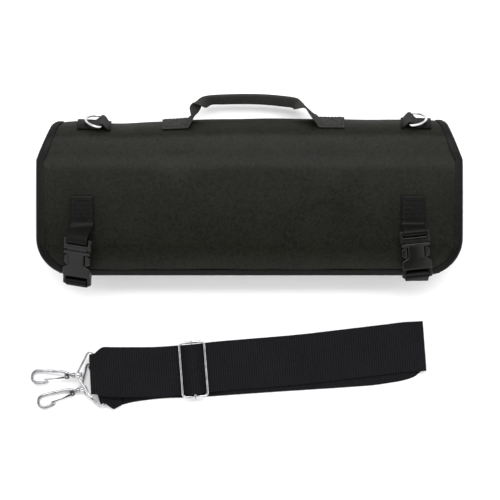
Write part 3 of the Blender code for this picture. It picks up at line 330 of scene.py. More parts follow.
def halfSine(tree, value):  # a half sine over each whole step of the value
    return maths(tree, "SINE", maths(tree, "MULTIPLY", maths(tree, "FRACT", value), math.pi))


def threadCounts(group, given, pitches):
    # the vector's first two values, each divided by the pitch of its threads
    split = group.nodes.new("ShaderNodeSeparateXYZ")
    group.links.new(given.outputs["Vector"], split.inputs[0])
    ways = zip(split.outputs, pitches)
    return [maths(group, "DIVIDE", axis, given.outputs[label]) for axis, label in ways]


def plainWeave():
    # over-and-under threads: each way's thread is a half sine across, its height a sine along whose
    # phase alternates from thread to thread; the higher thread shows
    group, given, put = newGroup("plainWeave", {"Vector": None, "Pitch": 0.0005}, ["Height"])
    u, v = threadCounts(group, given, ("Pitch", "Pitch"))
    ways = []
    for along, across, phase in ((u, v, 0.0), (v, u, 1.0)):
        shifted = maths(group, "ADD", maths(group, "ADD", along, maths(group, "FLOOR", across)), phase)
        wave = maths(group, "SINE", maths(group, "MULTIPLY", shifted, math.pi))
        rise = maths(group, "ADD", maths(group, "MULTIPLY", wave, 0.5), 0.5)
        ways.append(maths(group, "MULTIPLY", halfSine(group, across), rise))
    group.links.new(maths(group, "MAXIMUM", *ways), put.inputs["Height"])
    return group


def ribbedWeave():
    # ribs across the webbing: a half sine of the length along, nicked by finer threads lengthwise
    # whose phase shifts half a thread at each rib
    group, given, put = newGroup("ribbedWeave", {"Vector": None, "Pitch": 0.0012, "Thread": 0.0009}, ["Height"])
    u, v = threadCounts(group, given, ("Pitch", "Thread"))
    halfStep = maths(group, "MULTIPLY", maths(group, "FLOOR", u), 0.5)
    nick = maths(group, "MULTIPLY", halfSine(group, maths(group, "ADD", v, halfStep)), 0.55)
    height = maths(group, "MULTIPLY", halfSine(group, u), maths(group, "ADD", nick, 0.45))
    group.links.new(height, put.inputs["Height"])
    return group


def clothTone():
    # large soft patches, a middle-sized mottle and small flecks, as three noises about a half
    inputs = {"Vector": None, "Patch Scale": 14.0, "Mottle Scale": 300.0, "Fleck Scale": 900.0}
    group, given, put = newGroup("clothTone", inputs, ["Patch", "Mottle", "Fleck"])
    for label, detail in (("Patch", 3.0), ("Mottle", 2.0), ("Fleck", 2.0)):
        noise = group.nodes.new("ShaderNodeTexNoise")
        noise.inputs["Detail"].default_value = detail
        group.links.new(given.outputs["Vector"], noise.inputs["Vector"])
        group.links.new(given.outputs[label + " Scale"], noise.inputs["Scale"])
        group.links.new(noise.outputs[0], put.inputs[label])
    return group


groups = {"plain": plainWeave(), "ribbed": ribbedWeave(), "tone": clothTone()}


def ramp(tree, factor, stops):  # a colour ramp from stops of (place, colour)
    node = tree.nodes.new("ShaderNodeValToRGB")
    ends = node.color_ramp.elements
    for end, (place, colour) in ((ends[0], stops[0]), (ends[1], stops[-1])):
        end.position, end.color = place, (*colour, 1)
    for place, colour in stops[1:-1]:
        ends.new(place).color = (*colour, 1)
    tree.links.new(factor, node.inputs[0])
    return node.outputs[0]


def placed(tree, name, vector, values):  # a shader group with its own values
    node = tree.nodes.new("ShaderNodeGroup")
    node.node_tree = groups[name]
    tree.links.new(vector, node.inputs["Vector"])
    for label, value in values.items():
        node.inputs[label].default_value = value
    return node.outputs


def bumped(tree, height, strength, distance):  # a bump node reading a height
    node = tree.nodes.new("ShaderNodeBump")
    node.inputs["Strength"].default_value = strength
    node.inputs["Distance"].default_value = distance
    tree.links.new(height, node.inputs["Height"])
    return node


def newMaterial(name, look):
    # a material with the tone group on its object coordinates, its noise scales from the look
    material = bpy.data.materials.new(name)
    material.use_nodes = True
    tree = material.node_tree
    coordinates = tree.nodes.new("ShaderNodeTexCoord").outputs
    scales = {"Patch Scale": look["patchScale"], "Fleck Scale": look["fleckScale"]}
    tone = placed(tree, "tone", coordinates["Object"], scales)
    shader = tree.nodes["Principled BSDF"]
    shader.inputs["Specular IOR Level"].default_value = look["specular"]
    return material, tree, shader.inputs, coordinates, tone


clothSurface = {"haze": 0.16, "scatter": 0.7, "contrast": 0.15, "slackDepth": 0.0012}


def clothMaterial(name, look):
    # a woven finish: threads from the uv map and tone from three noises, read by colour, roughness and bump;
    # the fibres scatter more where the cloth turns away
    material, tree, sockets, coordinates, tone = newMaterial(name, look)
    weave = placed(tree, look["weave"], coordinates["UV"], look["threads"])
    shade = 0.0
    for source, share in zip((weave["Height"], tone["Patch"], tone["Mottle"], tone["Fleck"]), look["shares"]):
        shade = maths(tree, "ADD", shade, maths(tree, "MULTIPLY", source, share))
    shade = maths(tree, "DIVIDE", shade, sum(look["shares"]))
    dark, light = np.array(look["dark"]), np.array(look["light"])
    spread = clothSurface["contrast"]
    colour = ramp(tree, shade, [(0.5 - spread, dark), (0.5, (dark + light) / 2), (0.5 + spread, light)])
    tree.links.new(colour, sockets["Base Color"])
    haze = maths(tree, "MULTIPLY", tone["Fleck"], clothSurface["haze"])
    rough = maths(tree, "ADD", haze, look["roughness"] - clothSurface["haze"] / 2)
    facing = tree.nodes.new("ShaderNodeLayerWeight")
    facing.inputs["Blend"].default_value = 0.5
    scatter = maths(tree, "POWER", facing.outputs["Facing"], 2.0)
    scatter = maths(tree, "MULTIPLY", scatter, clothSurface["scatter"])
    tree.links.new(maths(tree, "ADD", rough, scatter), sockets["Roughness"])
    threads = bumped(tree, weave["Height"], look["bump"], look["depth"])
    slack = bumped(tree, tone["Patch"], look["slack"], clothSurface["slackDepth"])
    tree.links.new(threads.outputs[0], slack.inputs["Normal"])
    tree.links.new(slack.outputs[0], sockets["Normal"])
    return material


def hardMaterial(name, look):
    # plastic or plated wire: blotches in the colour, one noise in the roughness and one in the bump
    material, tree, sockets, _, tone = newMaterial(name, look)
    colour = ramp(tree, tone["Patch"], [(0.3, look["dark"]), (look["full"], look["light"])])
    tree.links.new(colour, sockets["Base Color"])
    haze = maths(tree, "MULTIPLY", tone[look["hazeFrom"]], look["haze"])
    tree.links.new(maths(tree, "ADD", haze, look["roughness"] - look["haze"] / 2), sockets["Roughness"])
    sockets["Metallic"].default_value = look["metallic"]
    bump = bumped(tree, tone[look["bumpFrom"]], look["bump"], look["depth"])
    tree.links.new(bump.outputs[0], sockets["Normal"])
    return material


# shares are how much the threads, patches, mottle and flecks each count in the colour
buckleWeb = {
    "weave": "ribbed", "threads": {"Pitch": 0.0013, "Thread": 0.0011}, "dark": (0.0003, 0.0003, 0.0002),
    "light": (0.0026, 0.0026, 0.0021), "shares": (0.6, 0.25, 0.3, 0.3), "patchScale": 60.0, "fleckScale": 1100.0,
    "roughness": 0.25, "specular": 0.085, "bump": 0.35, "depth": 0.00035, "slack": 0.1,
}
cloths = {
    "coverCloth": {
        "weave": "plain", "threads": {"Pitch": 0.00062}, "dark": (0.0009, 0.0009, 0.0004),
        "light": (0.0090, 0.0090, 0.0062), "shares": (0.4, 0.25, 0.6, 0.3), "patchScale": 26.0, "fleckScale": 800.0,
        "roughness": 0.27, "specular": 0.10, "bump": 0.35, "depth": 0.00022, "slack": 0.25,
    },
    "bindingTape": {
        "weave": "ribbed", "threads": {"Pitch": 0.0007, "Thread": 0.0009}, "dark": (0.0008, 0.0008, 0.0007),
        "light": (0.0040, 0.0040, 0.0036), "shares": (0.5, 0.3, 0.3, 0.3), "patchScale": 60.0, "fleckScale": 900.0,
        "roughness": 0.29, "specular": 0.095, "bump": 0.35, "depth": 0.0002, "slack": 0.15,
    },
    "webbing": {
        **buckleWeb, "dark": (0.0150, 0.0150, 0.0138), "light": (0.0350, 0.0350, 0.0325),
        "roughness": 0.42, "specular": 0.035, "bump": 0.7,
    },
    "buckleWebbing": buckleWeb,
    "strapWebbing": {
        "weave": "ribbed", "threads": {"Pitch": 0.0024, "Thread": 0.0016}, "dark": (0.0034, 0.0034, 0.0042),
        "light": (0.0088, 0.0089, 0.0108), "shares": (0.6, 0.3, 0.4, 0.3), "patchScale": 22.0, "fleckScale": 900.0,
        "roughness": 0.70, "specular": 0.05, "bump": 0.8, "depth": 0.0005, "slack": 0.3,
    },
    "sewingThread": {
        "weave": "ribbed", "threads": {"Pitch": 0.0004, "Thread": 0.0004}, "dark": (0.0020, 0.0020, 0.0020),
        "light": (0.0075, 0.0075, 0.0070), "shares": (0.2, 0.4, 0.1, 0.4), "patchScale": 90.0, "fleckScale": 1500.0,
        "roughness": 0.45, "specular": 0.16, "bump": 0.2, "depth": 0.0001, "slack": 0.05,
    },
}
chrome = {
    "dark": (0.36, 0.36, 0.37), "light": (0.66, 0.66, 0.67), "full": 0.75, "patchScale": 180.0, "fleckScale": 1500.0,
    "roughness": 0.09, "hazeFrom": "Fleck", "haze": 0.10, "metallic": 1.0, "specular": 0.5,
    "bumpFrom": "Patch", "bump": 0.12, "depth": 0.0001,
}
hards = {
    "chrome": chrome,
    "hookSteel": {**chrome, "dark": (0.20, 0.20, 0.21), "light": (0.46, 0.46, 0.47), "roughness": 0.11},
    "buckleNylon": {
        "dark": (0.0025, 0.0025, 0.0023), "light": (0.0055, 0.0055, 0.0050), "full": 0.7, "patchScale": 60.0,
        "fleckScale": 3800.0, "roughness": 0.21, "hazeFrom": "Patch", "haze": 0.16, "metallic": 0.0,
        "specular": 0.26, "bumpFrom": "Fleck", "bump": 0.25, "depth": 0.00008,
    },
}
finishes = {name: clothMaterial(name, look) for name, look in cloths.items()}
finishes.update({name: hardMaterial(name, look) for name, look in hards.items()})
print("finishes made")


# the wound sheet

topZ = sheet["rollHeight"] - sheet["wall"] / 2
backZ = sheet["wall"] / 2
layer = sheet["wall"] + sheet["layerGap"]
rowCounts = {"flap": 26, "spine": 44, "back": 16, "nose": 36, "innerSpine": 30, "inner": 18}
spineY = sheet["spineY"]
noseY = spineY - sheet["flatDepth"]
flapEdgeY = noseY - sheet["flapBulge"] * math.cos(math.radians(sheet["flapEndAngle"]))
chamferY = spineY + sheet["spineBulge"] - sheet["chamferDepth"]


def ellipseArc(centreY, lowZ, highZ, bulge, start, end, steps):
    # half an ellipse standing between two heights, angles from +Y towards +Z
    return arc(centreY, (lowZ + highZ) / 2, bulge, (highZ - lowZ) / 2, np.linspace(start, end, steps + 1)).T


def flapHeight(y):  # level, then an ellipse falling over the nose
    over = np.clip(noseY - y, 0, None) / sheet["flapBulge"]
    return topZ - sheet["flapFall"] * (1 - np.sqrt(1 - over**2))


def flapHalfWidth(y):  # round flap corners, level sides, a chamfer to the spine
    run, corner = y - flapEdgeY, sheet["flapCorner"]
    circle = np.sqrt(np.clip(corner**2 - np.clip(corner - run, 0, None) ** 2, 0, None))
    share = np.clip((y - chamferY) / sheet["chamferDepth"], 0, 1)
    level = (sheet["flapWidth"] + share * (sheet["spineWidth"] - sheet["flapWidth"])) / 2
    return np.where(run < corner, sheet["flapWidth"] / 2 - corner + circle, level)


def sheetProfile():
    # the sheet's middle line from the flap's edge inwards: heights and half widths over its length
    corner = flapEdgeY + sheet["flapCorner"] * (1 - np.cos(np.radians(np.arange(0, 91, 3))))
    y = np.concatenate((corner, np.linspace(corner[-1], chamferY, rowCounts["flap"])[1:]))
    runs = [(y, flapHeight(y), flapHalfWidth(y))]
    flapRows = len(y)
    y, z = ellipseArc(spineY, backZ, topZ, sheet["spineBulge"], 90, -90, rowCounts["spine"])
    below = np.clip(np.linspace(-1, 1, len(y)), 0, 1)
    body = sheet["bodyWidth"] / 2
    runs.append((y, z, flapHalfWidth(y) * (1 - below) + body * below))
    secondZ, innerZ = topZ - layer, backZ + layer
    noseFirst = flapRows + len(y) + rowCounts["back"] - 2
    backY = np.linspace(spineY, noseY, rowCounts["back"])[1:-1]
    inner = [(backY, np.full(len(backY), backZ))]
    inner.append(ellipseArc(noseY, backZ, secondZ, sheet["noseBulge"], -90, -270, rowCounts["nose"]))
    inner.append((backY[::-1], np.full(len(backY), secondZ)))
    bulge = sheet["spineBulge"] - layer
    inner.append(ellipseArc(spineY, innerZ, secondZ, bulge, 90, -90, rowCounts["innerSpine"]))
    endY = np.linspace(spineY, noseY - sheet["innerTuck"], rowCounts["inner"])[1:]
    inner.append((endY, np.full(len(endY), innerZ)))
    runs += [(y, z, np.full(len(y), body)) for y, z in inner]
    y, z, half = (np.concatenate([run[k] for run in runs]) for k in range(3))
    length = np.concatenate(([0.0], np.cumsum(np.hypot(np.diff(y), np.diff(z)))))
    outermost = length[flapRows + rowCounts["spine"] // 2]
    nose = length[[noseFirst, noseFirst + rowCounts["nose"]]]
    # soft corners where the chamfers meet the spine
    half = half - sheet["cornerCut"] * np.exp(-(((length - outermost) / sheet["cornerRun"]) ** 2))
    places = {"flapRows": flapRows, "outermost": outermost, "nose": nose}
    return {"y": y, "z": z, "half": half, "length": length, **places}


profile = sheetProfile()
pullShares = np.linspace(-1, 1, 401)
pullBlur = 25
pulls = np.pad(np.interp(pullShares, *spinePulls.T), pullBlur // 2, mode="edge")
pulls = np.convolve(pulls, np.ones(pullBlur) / pullBlur, "valid")


def settle(x, y, z):
    # the spine pulled in where it sags, the ends lifted off the floor and the stack's ends and edges dropped
    pull = np.interp(x / (sheet["spineWidth"] / 2), pullShares, pulls)
    y = np.where(y > spineY, spineY + (y - spineY) * (1 + pull), y)
    stack = layer + sheet["wall"]
    height = np.clip((z - stack) / (sheet["rollHeight"] - 2 * stack), 0, 1)
    lift = sheet["endLift"] * ease((np.abs(x) / (sheet["bodyWidth"] / 2) - 0.8) / 0.16)
    across = np.abs(x) / (sheet["flapWidth"] / 2)
    reach = sheet["flatDepth"] / 2 + sheet["spineBulge"]
    drop = sheet["endDrop"] * across**4 + sheet["crownDrop"] * ((y - (spineY + noseY) / 2) / reach) ** 2
    return np.stack(np.broadcast_arrays(x, y, z + lift * (1 - height) - drop * height), -1)


def sheetPoint(x, s):  # the middle surface at a distance across and a length from the flap's edge
    x, s = np.asarray(x, float), np.asarray(s, float)
    return settle(x, np.interp(s, profile["length"], profile["y"]), np.interp(s, profile["length"], profile["z"]))


def sheetNormal(x, s):
    across = sheetPoint(x + 0.002, s) - sheetPoint(x - 0.002, s)
    along = sheetPoint(x, s + 0.002) - sheetPoint(x, s - 0.002)
    return unit(np.cross(across, along))


def onSheet(x, s, height=0.0):  # a point above the middle surface, along its normal
    return sheetPoint(x, s) + sheetNormal(x, s) * np.asarray(height)[..., None]


def flapLength(y):  # the sheet's length at a distance y on the flap
    rows = profile["flapRows"]
    return np.interp(y, profile["y"][:rows], profile["length"][:rows])


def spineLength(rise):  # the sheet's length at an arc above the spine's outermost line
    return profile["outermost"] - rise


def sewn(x, s, lift, face=1):  # stitches over the sheet, on its outer or inner face
    return stitching(onSheet(x, s, face * lift), sheetNormal(x, s) * face)


relief = {
    "longWave": 0.00028, "shortWave": 0.00016, "bendStart": 0.029, "bendRise": 0.015, "bendHold": 0.012,
    "bendFall": 0.016, "dentAcross": 0.020, "dentAlong": 0.014, "pastSpine": 0.03,
}
coverGrid = {"cols": 150, "crowd": 1.15, "thinner": 0.0002, "rounding": 0.0014}
coverDents = [(-0.1675, -0.030, 0.0005), (0.1635, -0.028, 0.0005), (-0.074, 0.060, 0.0006), (0.083, 0.060, 0.0005)]


def coverRelief(x, s):
    # slack in the cloth: slow waves along and across, the dip where the flap bends to the spine, and a
    # dent (across, along, depth) beside each sewn end, as metres
    waves = relief["longWave"] * np.sin(x * 41 + 1.3 * np.sin(s * 17)) * np.sin(s * 37 + 0.9)
    waves += relief["shortWave"] * np.sin(x * 97 + s * 23 + 2.0)
    sink = ease((s - flapLength(relief["bendStart"])) / relief["bendRise"])
    sink = sink * (1 - ease((s - flapLength(chamferY) - relief["bendHold"]) / relief["bendFall"]))
    waves -= sheet["bendDip"] * sink
    for centreX, centreY, depth in coverDents:
        along = (s - flapLength(centreY)) / relief["dentAlong"]
        waves -= depth * np.exp(-(((x - centreX) / relief["dentAcross"]) ** 2 + along**2))
    return waves


def makeCover():
    # the sheet's middle grid: every profile row by shares of its half width, moved by the relief
    s, half = profile["length"][:, None], profile["half"]
    x = acrossShares(coverGrid["cols"], coverGrid["crowd"])[None] * half[:, None]
    points = onSheet(x, s, coverRelief(x, s) * (s < profile["outermost"] + relief["pastSpine"]))
    skin = shell(points, sheet["wall"] - coverGrid["thinner"], coverGrid["rounding"])
    cover = piece("cover", [skin], "coverCloth", nodes=["roll_panel"])
    flat = (sheet["flapWidth"], float(s[-1, 0]))
    return cover, flat, float(np.trapz(2 * half, profile["length"]))


cover, coverFlat, coverArea = makeCover()
print("cover made", coverFlat, round(coverArea, 4))


# the binding round the sheet's edge

binding = {
    "width": 0.0065, "wall": 0.0008, "gap": 0.0005, "stitchInset": 0.0048, "step": 0.0016, "press": 0.0004,
    "pressStart": 0.0015, "pressRun": 0.003, "rounding": 0.0004, "stitchSink": 0.00005,
}


def borderLine():
    # (across, length) up the left side backwards, along the flap's edge and down the right side
    s, half = profile["length"], profile["half"]
    front = np.linspace(-half[0], half[0], 120)[1:-1]
    left, right = np.stack((-half[::-1], s[::-1]), -1), np.stack((half, s), -1)
    line = resampled(np.vstack((left, np.stack((front, 0 * front), -1), right)), binding["step"])
    along = unit(smoothed(np.gradient(line, axis=0), 3))
    return line, np.stack((-along[:, 1], along[:, 0]), -1)


def makeBinding():
    # a tape folded over the edge: its section runs in flat, turns half a circle and runs out flat again,
    # pressed towards the cloth along its stitch line
    line, inward = borderLine()
    beyond = binding["gap"] + binding["wall"] / 2
    rise, turn = sheet["wall"] / 2 + beyond, np.radians(np.linspace(0, 180, 11))
    flatRun = np.linspace(binding["width"], rise - beyond, 8)[:-1]
    depth = np.concatenate((flatRun, rise * (1 - np.sin(turn)) - beyond, flatRun[::-1]))
    flatRise = np.full(len(flatRun), rise)
    height = np.concatenate((flatRise, rise * np.cos(turn), -flatRise))
    height = height * (1 - binding["press"] / rise * ease((depth - binding["pressStart"]) / binding["pressRun"]))
    x, s = np.moveaxis(line[:, None] + inward[:, None] * np.clip(depth, 0, None)[None, :, None], -1, 0)
    near = line + inward * 0.001
    outward = unit(sheetPoint(*line.T) - sheetPoint(*near.T))
    middle = onSheet(x, s, height[None]) + outward[:, None] * np.clip(-depth, 0, None)[None, :, None]
    fold = shell(middle, binding["wall"], binding["rounding"])
    tape = piece("edgeTape", [fold], "bindingTape", nodes=["edge_binding"])
    x, s = (line + inward * binding["stitchInset"]).T
    lift = rise - binding["press"] + binding["wall"] / 2 - binding["stitchSink"]
    rows = [sewn(x, s, lift, face) for face in (1, -1)]
    seam = piece("tapeSeam", rows, "sewingThread")
    return tape, seam, float(lengths(line[:, None], 0)[-1, 0])


edgeTape, tapeSeam, tapeLength = makeBinding()
print("binding made", round(tapeLength, 3))

# frames: x across the webbing, y up the flap, z outward

buckles = {
    "left": {
        "side": -1, "inset": 0.0412, "down": 0.0600, "yaw": -2.0, "roll": 24.0, "pitch": 15.0, "rise": 0.0103,
        "patch": 0.0450,
    },
    "right": {
        "side": 1, "inset": 0.0465, "down": 0.0545, "yaw": 4.6, "roll": 8.0, "pitch": 9.0, "rise": 0.0066,
        "patch": 0.0490,
    },
}
buckleShape = {
    "width": 0.030, "thickness": 0.0084, "plug": 0.0044, "bar": 0.0019, "rail": 0.003, "railEnd": 0.0004,
    "socketTop": 0.0112, "socketLength": 0.0267, "slot": 0.0022, "shoulder": 0.0057, "prongInset": 0.0036,
    "padInset": 0.0008, "windowInside": 0.0082, "windowTop": 0.0078, "pin": 0.0003, "hang": 62.0,
    "patchStart": 0.0005, "patchLength": 0.0255, "stitchInset": 0.0026,
}
webSeat = sheet["wall"] / 2 + web["seat"] + web["wall"] / 2
plyPitch = web["wall"] + web["plyGap"]
barWrap = buckleShape["bar"] + web["seat"] + web["wall"] / 2
plugShoulder = buckleShape["socketTop"] + buckleShape["pin"]
plugBarY = plugShoulder + buckleShape["shoulder"] + web["seat"] + barWrap + web["wall"] / 2
socketLow = buckleShape["socketTop"] - buckleShape["socketLength"]
socketBarY = buckleShape["slot"] - socketLow + barWrap + web["wall"] / 2


def axesFrame(spot, *axes):  # a matrix from its place and its x, y and z
    matrix = Matrix(np.stack(axes).T.tolist()).to_4x4()
    matrix.translation = Vector(spot)
    return matrix


def sheetFrame(x, s, height):
    across = unit(sheetPoint(x + web["width"] / 2, s) - sheetPoint(x - web["width"] / 2, s))
    out = unit(sheetNormal(x, s))
    along = unit(np.cross(out, across))
    return axesFrame(onSheet(x, s, height), unit(np.cross(along, out)), along, out)


def turnedBy(degrees, axis):  # a turn about x, y or z
    return Matrix.Rotation(math.radians(degrees), 4, axis)


def buckleFrame(spec):
    x = spec["side"] * (sheet["flapWidth"] / 2 - spec["inset"])
    base = onSheet(x, flapLength(-spec["down"]), sheet["wall"] / 2 + spec["rise"])
    turn = turnedBy(spec["yaw"], "Z") @ turnedBy(spec["pitch"], "X") @ turnedBy(spec["side"] * spec["roll"], "Y")
    return Matrix.Translation(Vector(base)) @ turn


def between(first, last, share, slack=0.35):
    # part of the way from one frame to another, on a cubic tangent to both along y
    start, end = first.translation, last.translation
    reach, rest = (end - start).length * slack, 1 - share
    leave, arrive = start - first.col[1].to_3d() * reach, end + last.col[1].to_3d() * reach
    spot = start * rest**3 + leave * (3 * rest**2 * share) + arrive * (3 * rest * share**2) + end * share**3
    turn = first.to_quaternion().slerp(last.to_quaternion(), float(ease(share * 1.2)))
    return Matrix.Translation(spot) @ turn.to_matrix().to_4x4()


def towardsBar(start, bar, shares):  # frames to a buckle's bar, the plies spreading to wrap it
    spreads = [plyPitch / 2 + (barWrap - plyPitch / 2) * float(ease(share)) for share in shares]
    return [(between(start, bar, share), spread) for share, spread in zip(shares, spreads)]


def sideSpots(matrix, half, along, out):  # a row's two sides
    return [list(matrix @ Vector((side * half, along, out))) for side in (-1, 1)]


def loopedRows(frames, steps=8):
    # doubled webbing as (left, right) rows: in along the lower ply, half a circle round the bar, out on top
    bar, radius = frames[-1]
    stations = [(matrix, 0.0, -spread) for matrix, spread in frames]
    for angle in np.linspace(0, math.pi, steps + 1)[1:-1]:
        stations.append((bar, -radius * math.sin(angle), -radius * math.cos(angle)))
    stations += [(matrix, 0.0, spread) for matrix, spread in reversed(frames)]
    return np.array([sideSpots(matrix, web["width"] / 2, along, out) for matrix, along, out in stations])


def webPiece(name, shape, finish, node, length, width):
    # a strip of webbing that stands for its solid
    strip = piece(name, [shape], finish, nodes=[node])


def sewnBox(x, along, toLength, lift):
    # a stitched box with its two diagonals, from two places across and two along, on the sheet
    box = np.array([(x[0], along[0]), (x[1], along[0]), (x[1], along[1]), (x[0], along[1]), (x[0], along[0])])
    seams = []
    for line in (box, box[[0, 2]], box[[1, 3]]):
        across, reach = resampled(line, 0.001).T
        seams.append(sewn(across, toLength(reach), lift))
    return seams


def makeUpperStrap(side, spec):
    # doubled webbing: a patch sewn on the flap from its folded end, then on round the plug's bar
    x = spec["side"] * (sheet["flapWidth"] / 2 - spec["patch"])
    ys = np.linspace(buckleShape["patchStart"], buckleShape["patchStart"] - buckleShape["patchLength"], 9)
    frames = [(sheetFrame(x, flapLength(y), webSeat + plyPitch / 2), plyPitch / 2) for y in ys]
    bar = buckleFrame(spec) @ Matrix.Translation((0.0, plugBarY, 0.0))
    frames += towardsBar(frames[-1][0], bar, (0.2, 0.4, 0.6, 0.8, 1.0))
    half, fold = web["width"] / 2, []
    for angle in np.radians((25, 50, 78)):
        reach, out = plyPitch / 2 * math.sin(angle), plyPitch / 2 * math.cos(angle)
        fold.append([sideSpots(frames[0][0], half, reach, ply * out) for ply in (-1, 1)])
    fold = np.array(fold)
    strip = webbing(np.concatenate((fold[::-1, 0], loopedRows(frames), fold[:, 1])), web["wall"])
    webPiece("upperStrap_" + side, strip[0], "buckleWebbing", "buckle_upper_strap_" + side, *strip[1:])
    inset = buckleShape["stitchInset"]
    seams = sewnBox(
        (x - half + inset, x + half - inset), (ys[0] - inset, ys[-1] + inset * 0.4), flapLength,
        webSeat + plyPitch + web["wall"] / 2,
    )
    piece("upperStrapSeam_" + side, seams, "sewingThread")


def makeLowerStrap(side, spec):
    # doubled webbing: up the nose, out past the flap's bound edge and on round the socket's bar
    flip = turnedBy(180.0, "Z")
    hang = flip @ turnedBy(-buckleShape["hang"], "X")
    bar = buckleFrame(spec) @ Matrix.Translation((0.0, -socketBarY, 0.0)) @ hang
    x = bar.translation.x
    first, last = profile["nose"]
    spots = first + (last - first) * np.array([0.25, 0.31, 0.375, 0.44, 0.5])
    frames = [(sheetFrame(x, s, webSeat + plyPitch / 2) @ flip, plyPitch / 2) for s in spots]
    tape = binding["gap"] + binding["wall"]
    edge = onSheet(x, 0.0, sheet["wall"] / 2 + tape)
    beyond = tape + web["seat"] + web["wall"] + web["plyGap"] / 2
    over = Matrix(((-1, 0, 0, edge[0]), (0, 0, -1, edge[1] - beyond), (0, -1, 0, edge[2]), (0, 0, 0, 1)))
    seat = frames[-1][0]
    frames += [(between(seat, over, share), plyPitch / 2) for share in (0.5, 1.0)]
    frames += towardsBar(over, bar, (0.25, 0.5, 0.75, 1.0))
    strip = webbing(loopedRows(frames), web["wall"])
    webPiece("lowerStrap_" + side, strip[0], "buckleWebbing", "buckle_lower_strap_" + side, *strip[1:])


def mirroredOutline(half):
    # an outline from its right half, top centre first, turned to run counterclockwise
    outline = np.array(half + [(-x, y) for x, y in reversed(half)])
    return outline[::-1]


def barRod(y):  # a buckle's bar, from side to side
    reach = buckleShape["width"] / 2 - 0.0012
    return rod([(-reach, y, 0), (reach, y, 0)], buckleShape["bar"])


def makeBuckle(side, spec):
    b, place = buckleShape, buckleFrame(spec)
    edge, rail, shoulder = b["width"] / 2, b["width"] / 2 - b["rail"], plugShoulder
    prong, pad, top = edge - b["prongInset"], edge - b["padInset"], plugBarY + b["bar"] + b["railEnd"]
    # plug: a bridge with a rail at each side, its bar, and a pad in each window
    bridge = mirroredOutline([
        (rail, shoulder + b["shoulder"]), (rail, top), (edge - 0.001, top), (edge, top - 0.001), (edge, shoulder),
        (prong, shoulder + 0.0004), (prong, 0.0068), (pad, 0.0048), (pad, -0.0012), (prong - 0.0006, -0.0050),
        (prong - 0.0028, -0.0050), (prong - 0.0026, 0.0085), (0.0035, 0.0085), (0.0030, -0.0070),
    ])
    ridge = mirroredOutline([(rail - 0.0006, shoulder + 0.0012), (rail - 0.0006, shoulder + 0.0030)])
    plug = [
        slab(bridge, b["plug"], 0.0009, 0.0008), barRod(plugBarY),
        slab(ridge, b["plug"] + 0.0009, 0.0004, 0.0004),
    ]
    # socket: a crowned body notched by a window at each side, a raised lip at its mouth, rails and a bar
    inside, foot = b["windowInside"], socketBarY + b["bar"] + b["railEnd"]
    body = mirroredOutline([
        (edge - 0.0006, b["socketTop"]), (edge - 0.0002, b["windowTop"]), (inside, b["windowTop"]),
        (inside, -0.0030), (edge, -0.0066), (edge, socketLow + 0.0010), (edge - 0.0010, socketLow),
    ])
    lip = mirroredOutline([(edge - 0.0010, b["socketTop"] - 0.0002), (edge - 0.0012, b["windowTop"] + 0.0012)])
    socket = [
        slab(body, b["thickness"], 0.0011, 0.0010, crown=0.16),
        slab(lip, b["thickness"] + 0.0007, 0.0008, 0.0006, crown=0.10),
    ]
    low, end = socketLow + 0.001, -foot
    corners = np.array([(rail, low), (edge, low), (edge, end + 0.001), (edge - 0.001, end), (rail, end)])
    for outline in (corners * (-1, 1), corners[::-1]):
        socket.append(slab(outline, b["plug"], 0.0006, 0.0006))
    socket.append(barRod(-socketBarY))
    for name, shapes in (("plug_", plug), ("socket_", socket)):
        node = "buckle_" + name + side
        piece(name + side, shapes, "buckleNylon", nodes=[node], sharp=60, place=place)


for side, spec in buckles.items():
    makeUpperStrap(side, spec)
    makeLowerStrap(side, spec)
    makeBuckle(side, spec)
print("buckles made")


# the handle and the ring tabs on the spine

handle = {
    "centre": 0.004, "span": 0.183, "tab": 0.027, "reach": 0.0260, "foldRadius": 0.00095, "rise": 0.0085,
    "stitchInset": 0.0024,
}
# free run: share of the way, share of the reach, sink in metres, lean of the webbing, share of the fold
handleRows = np.array([
    (0.026, 0.10, 0.0006, -0.08, -0.30, 0.95, 0.0), (0.042, 0.30, 0.0030, -0.32, -0.18, 0.93, 0.0),
    (0.047, 0.52, 0.0060, -0.48, -0.08, 0.87, 0.0), (0.056, 0.72, 0.0085, -0.34, -0.14, 0.90, 0.0),
    (0.092, 0.88, 0.0100, -0.10, -0.40, 0.90, 0.35), (0.150, 0.955, 0.0102, 0.0, -0.68, 0.73, 0.94),
    (0.260, 0.985, 0.0108, 0.0, -0.72, 0.69, 0.94), (0.420, 1.00, 0.0112, 0.0, -0.70, 0.71, 0.94),
    (0.580, 0.985, 0.0112, 0.0, -0.66, 0.75, 0.94), (0.730, 0.92, 0.0108, 0.0, -0.60, 0.80, 0.94),
    (0.832, 0.84, 0.0102, 0.0, -0.54, 0.84, 0.94), (0.868, 0.72, 0.0095, 0.05, -0.36, 0.92, 0.35),
    (0.902, 0.53, 0.0075, 0.10, -0.20, 0.96, 0.0), (0.936, 0.31, 0.0035, 0.06, -0.26, 0.96, 0.0),
    (0.970, 0.12, 0.0008, 0.0, -0.31, 0.95, 0.0),
])


def catmull(rows, steps):
    # even Catmull-Rom curve through rows of numbers
    padded = np.vstack((2 * rows[:1] - rows[1:2], rows, 2 * rows[-1:] - rows[-2:-1]))
    t = (np.arange(steps) / steps)[None, :, None]
    a, b, c, d = (padded[k : len(rows) - 1 + k, None] for k in range(4))
    out = 0.5 * (2 * b + (c - a) * t + (2 * a - 5 * b + 4 * c - d) * t**2 + (3 * b - a - 3 * c + d) * t**3)
    return np.vstack((out.reshape(-1, rows.shape[1]), rows[-1:]))


def spineRise(up):  # the sheet's length at an arc above the handle's line
    return spineLength(handle["rise"] + up)


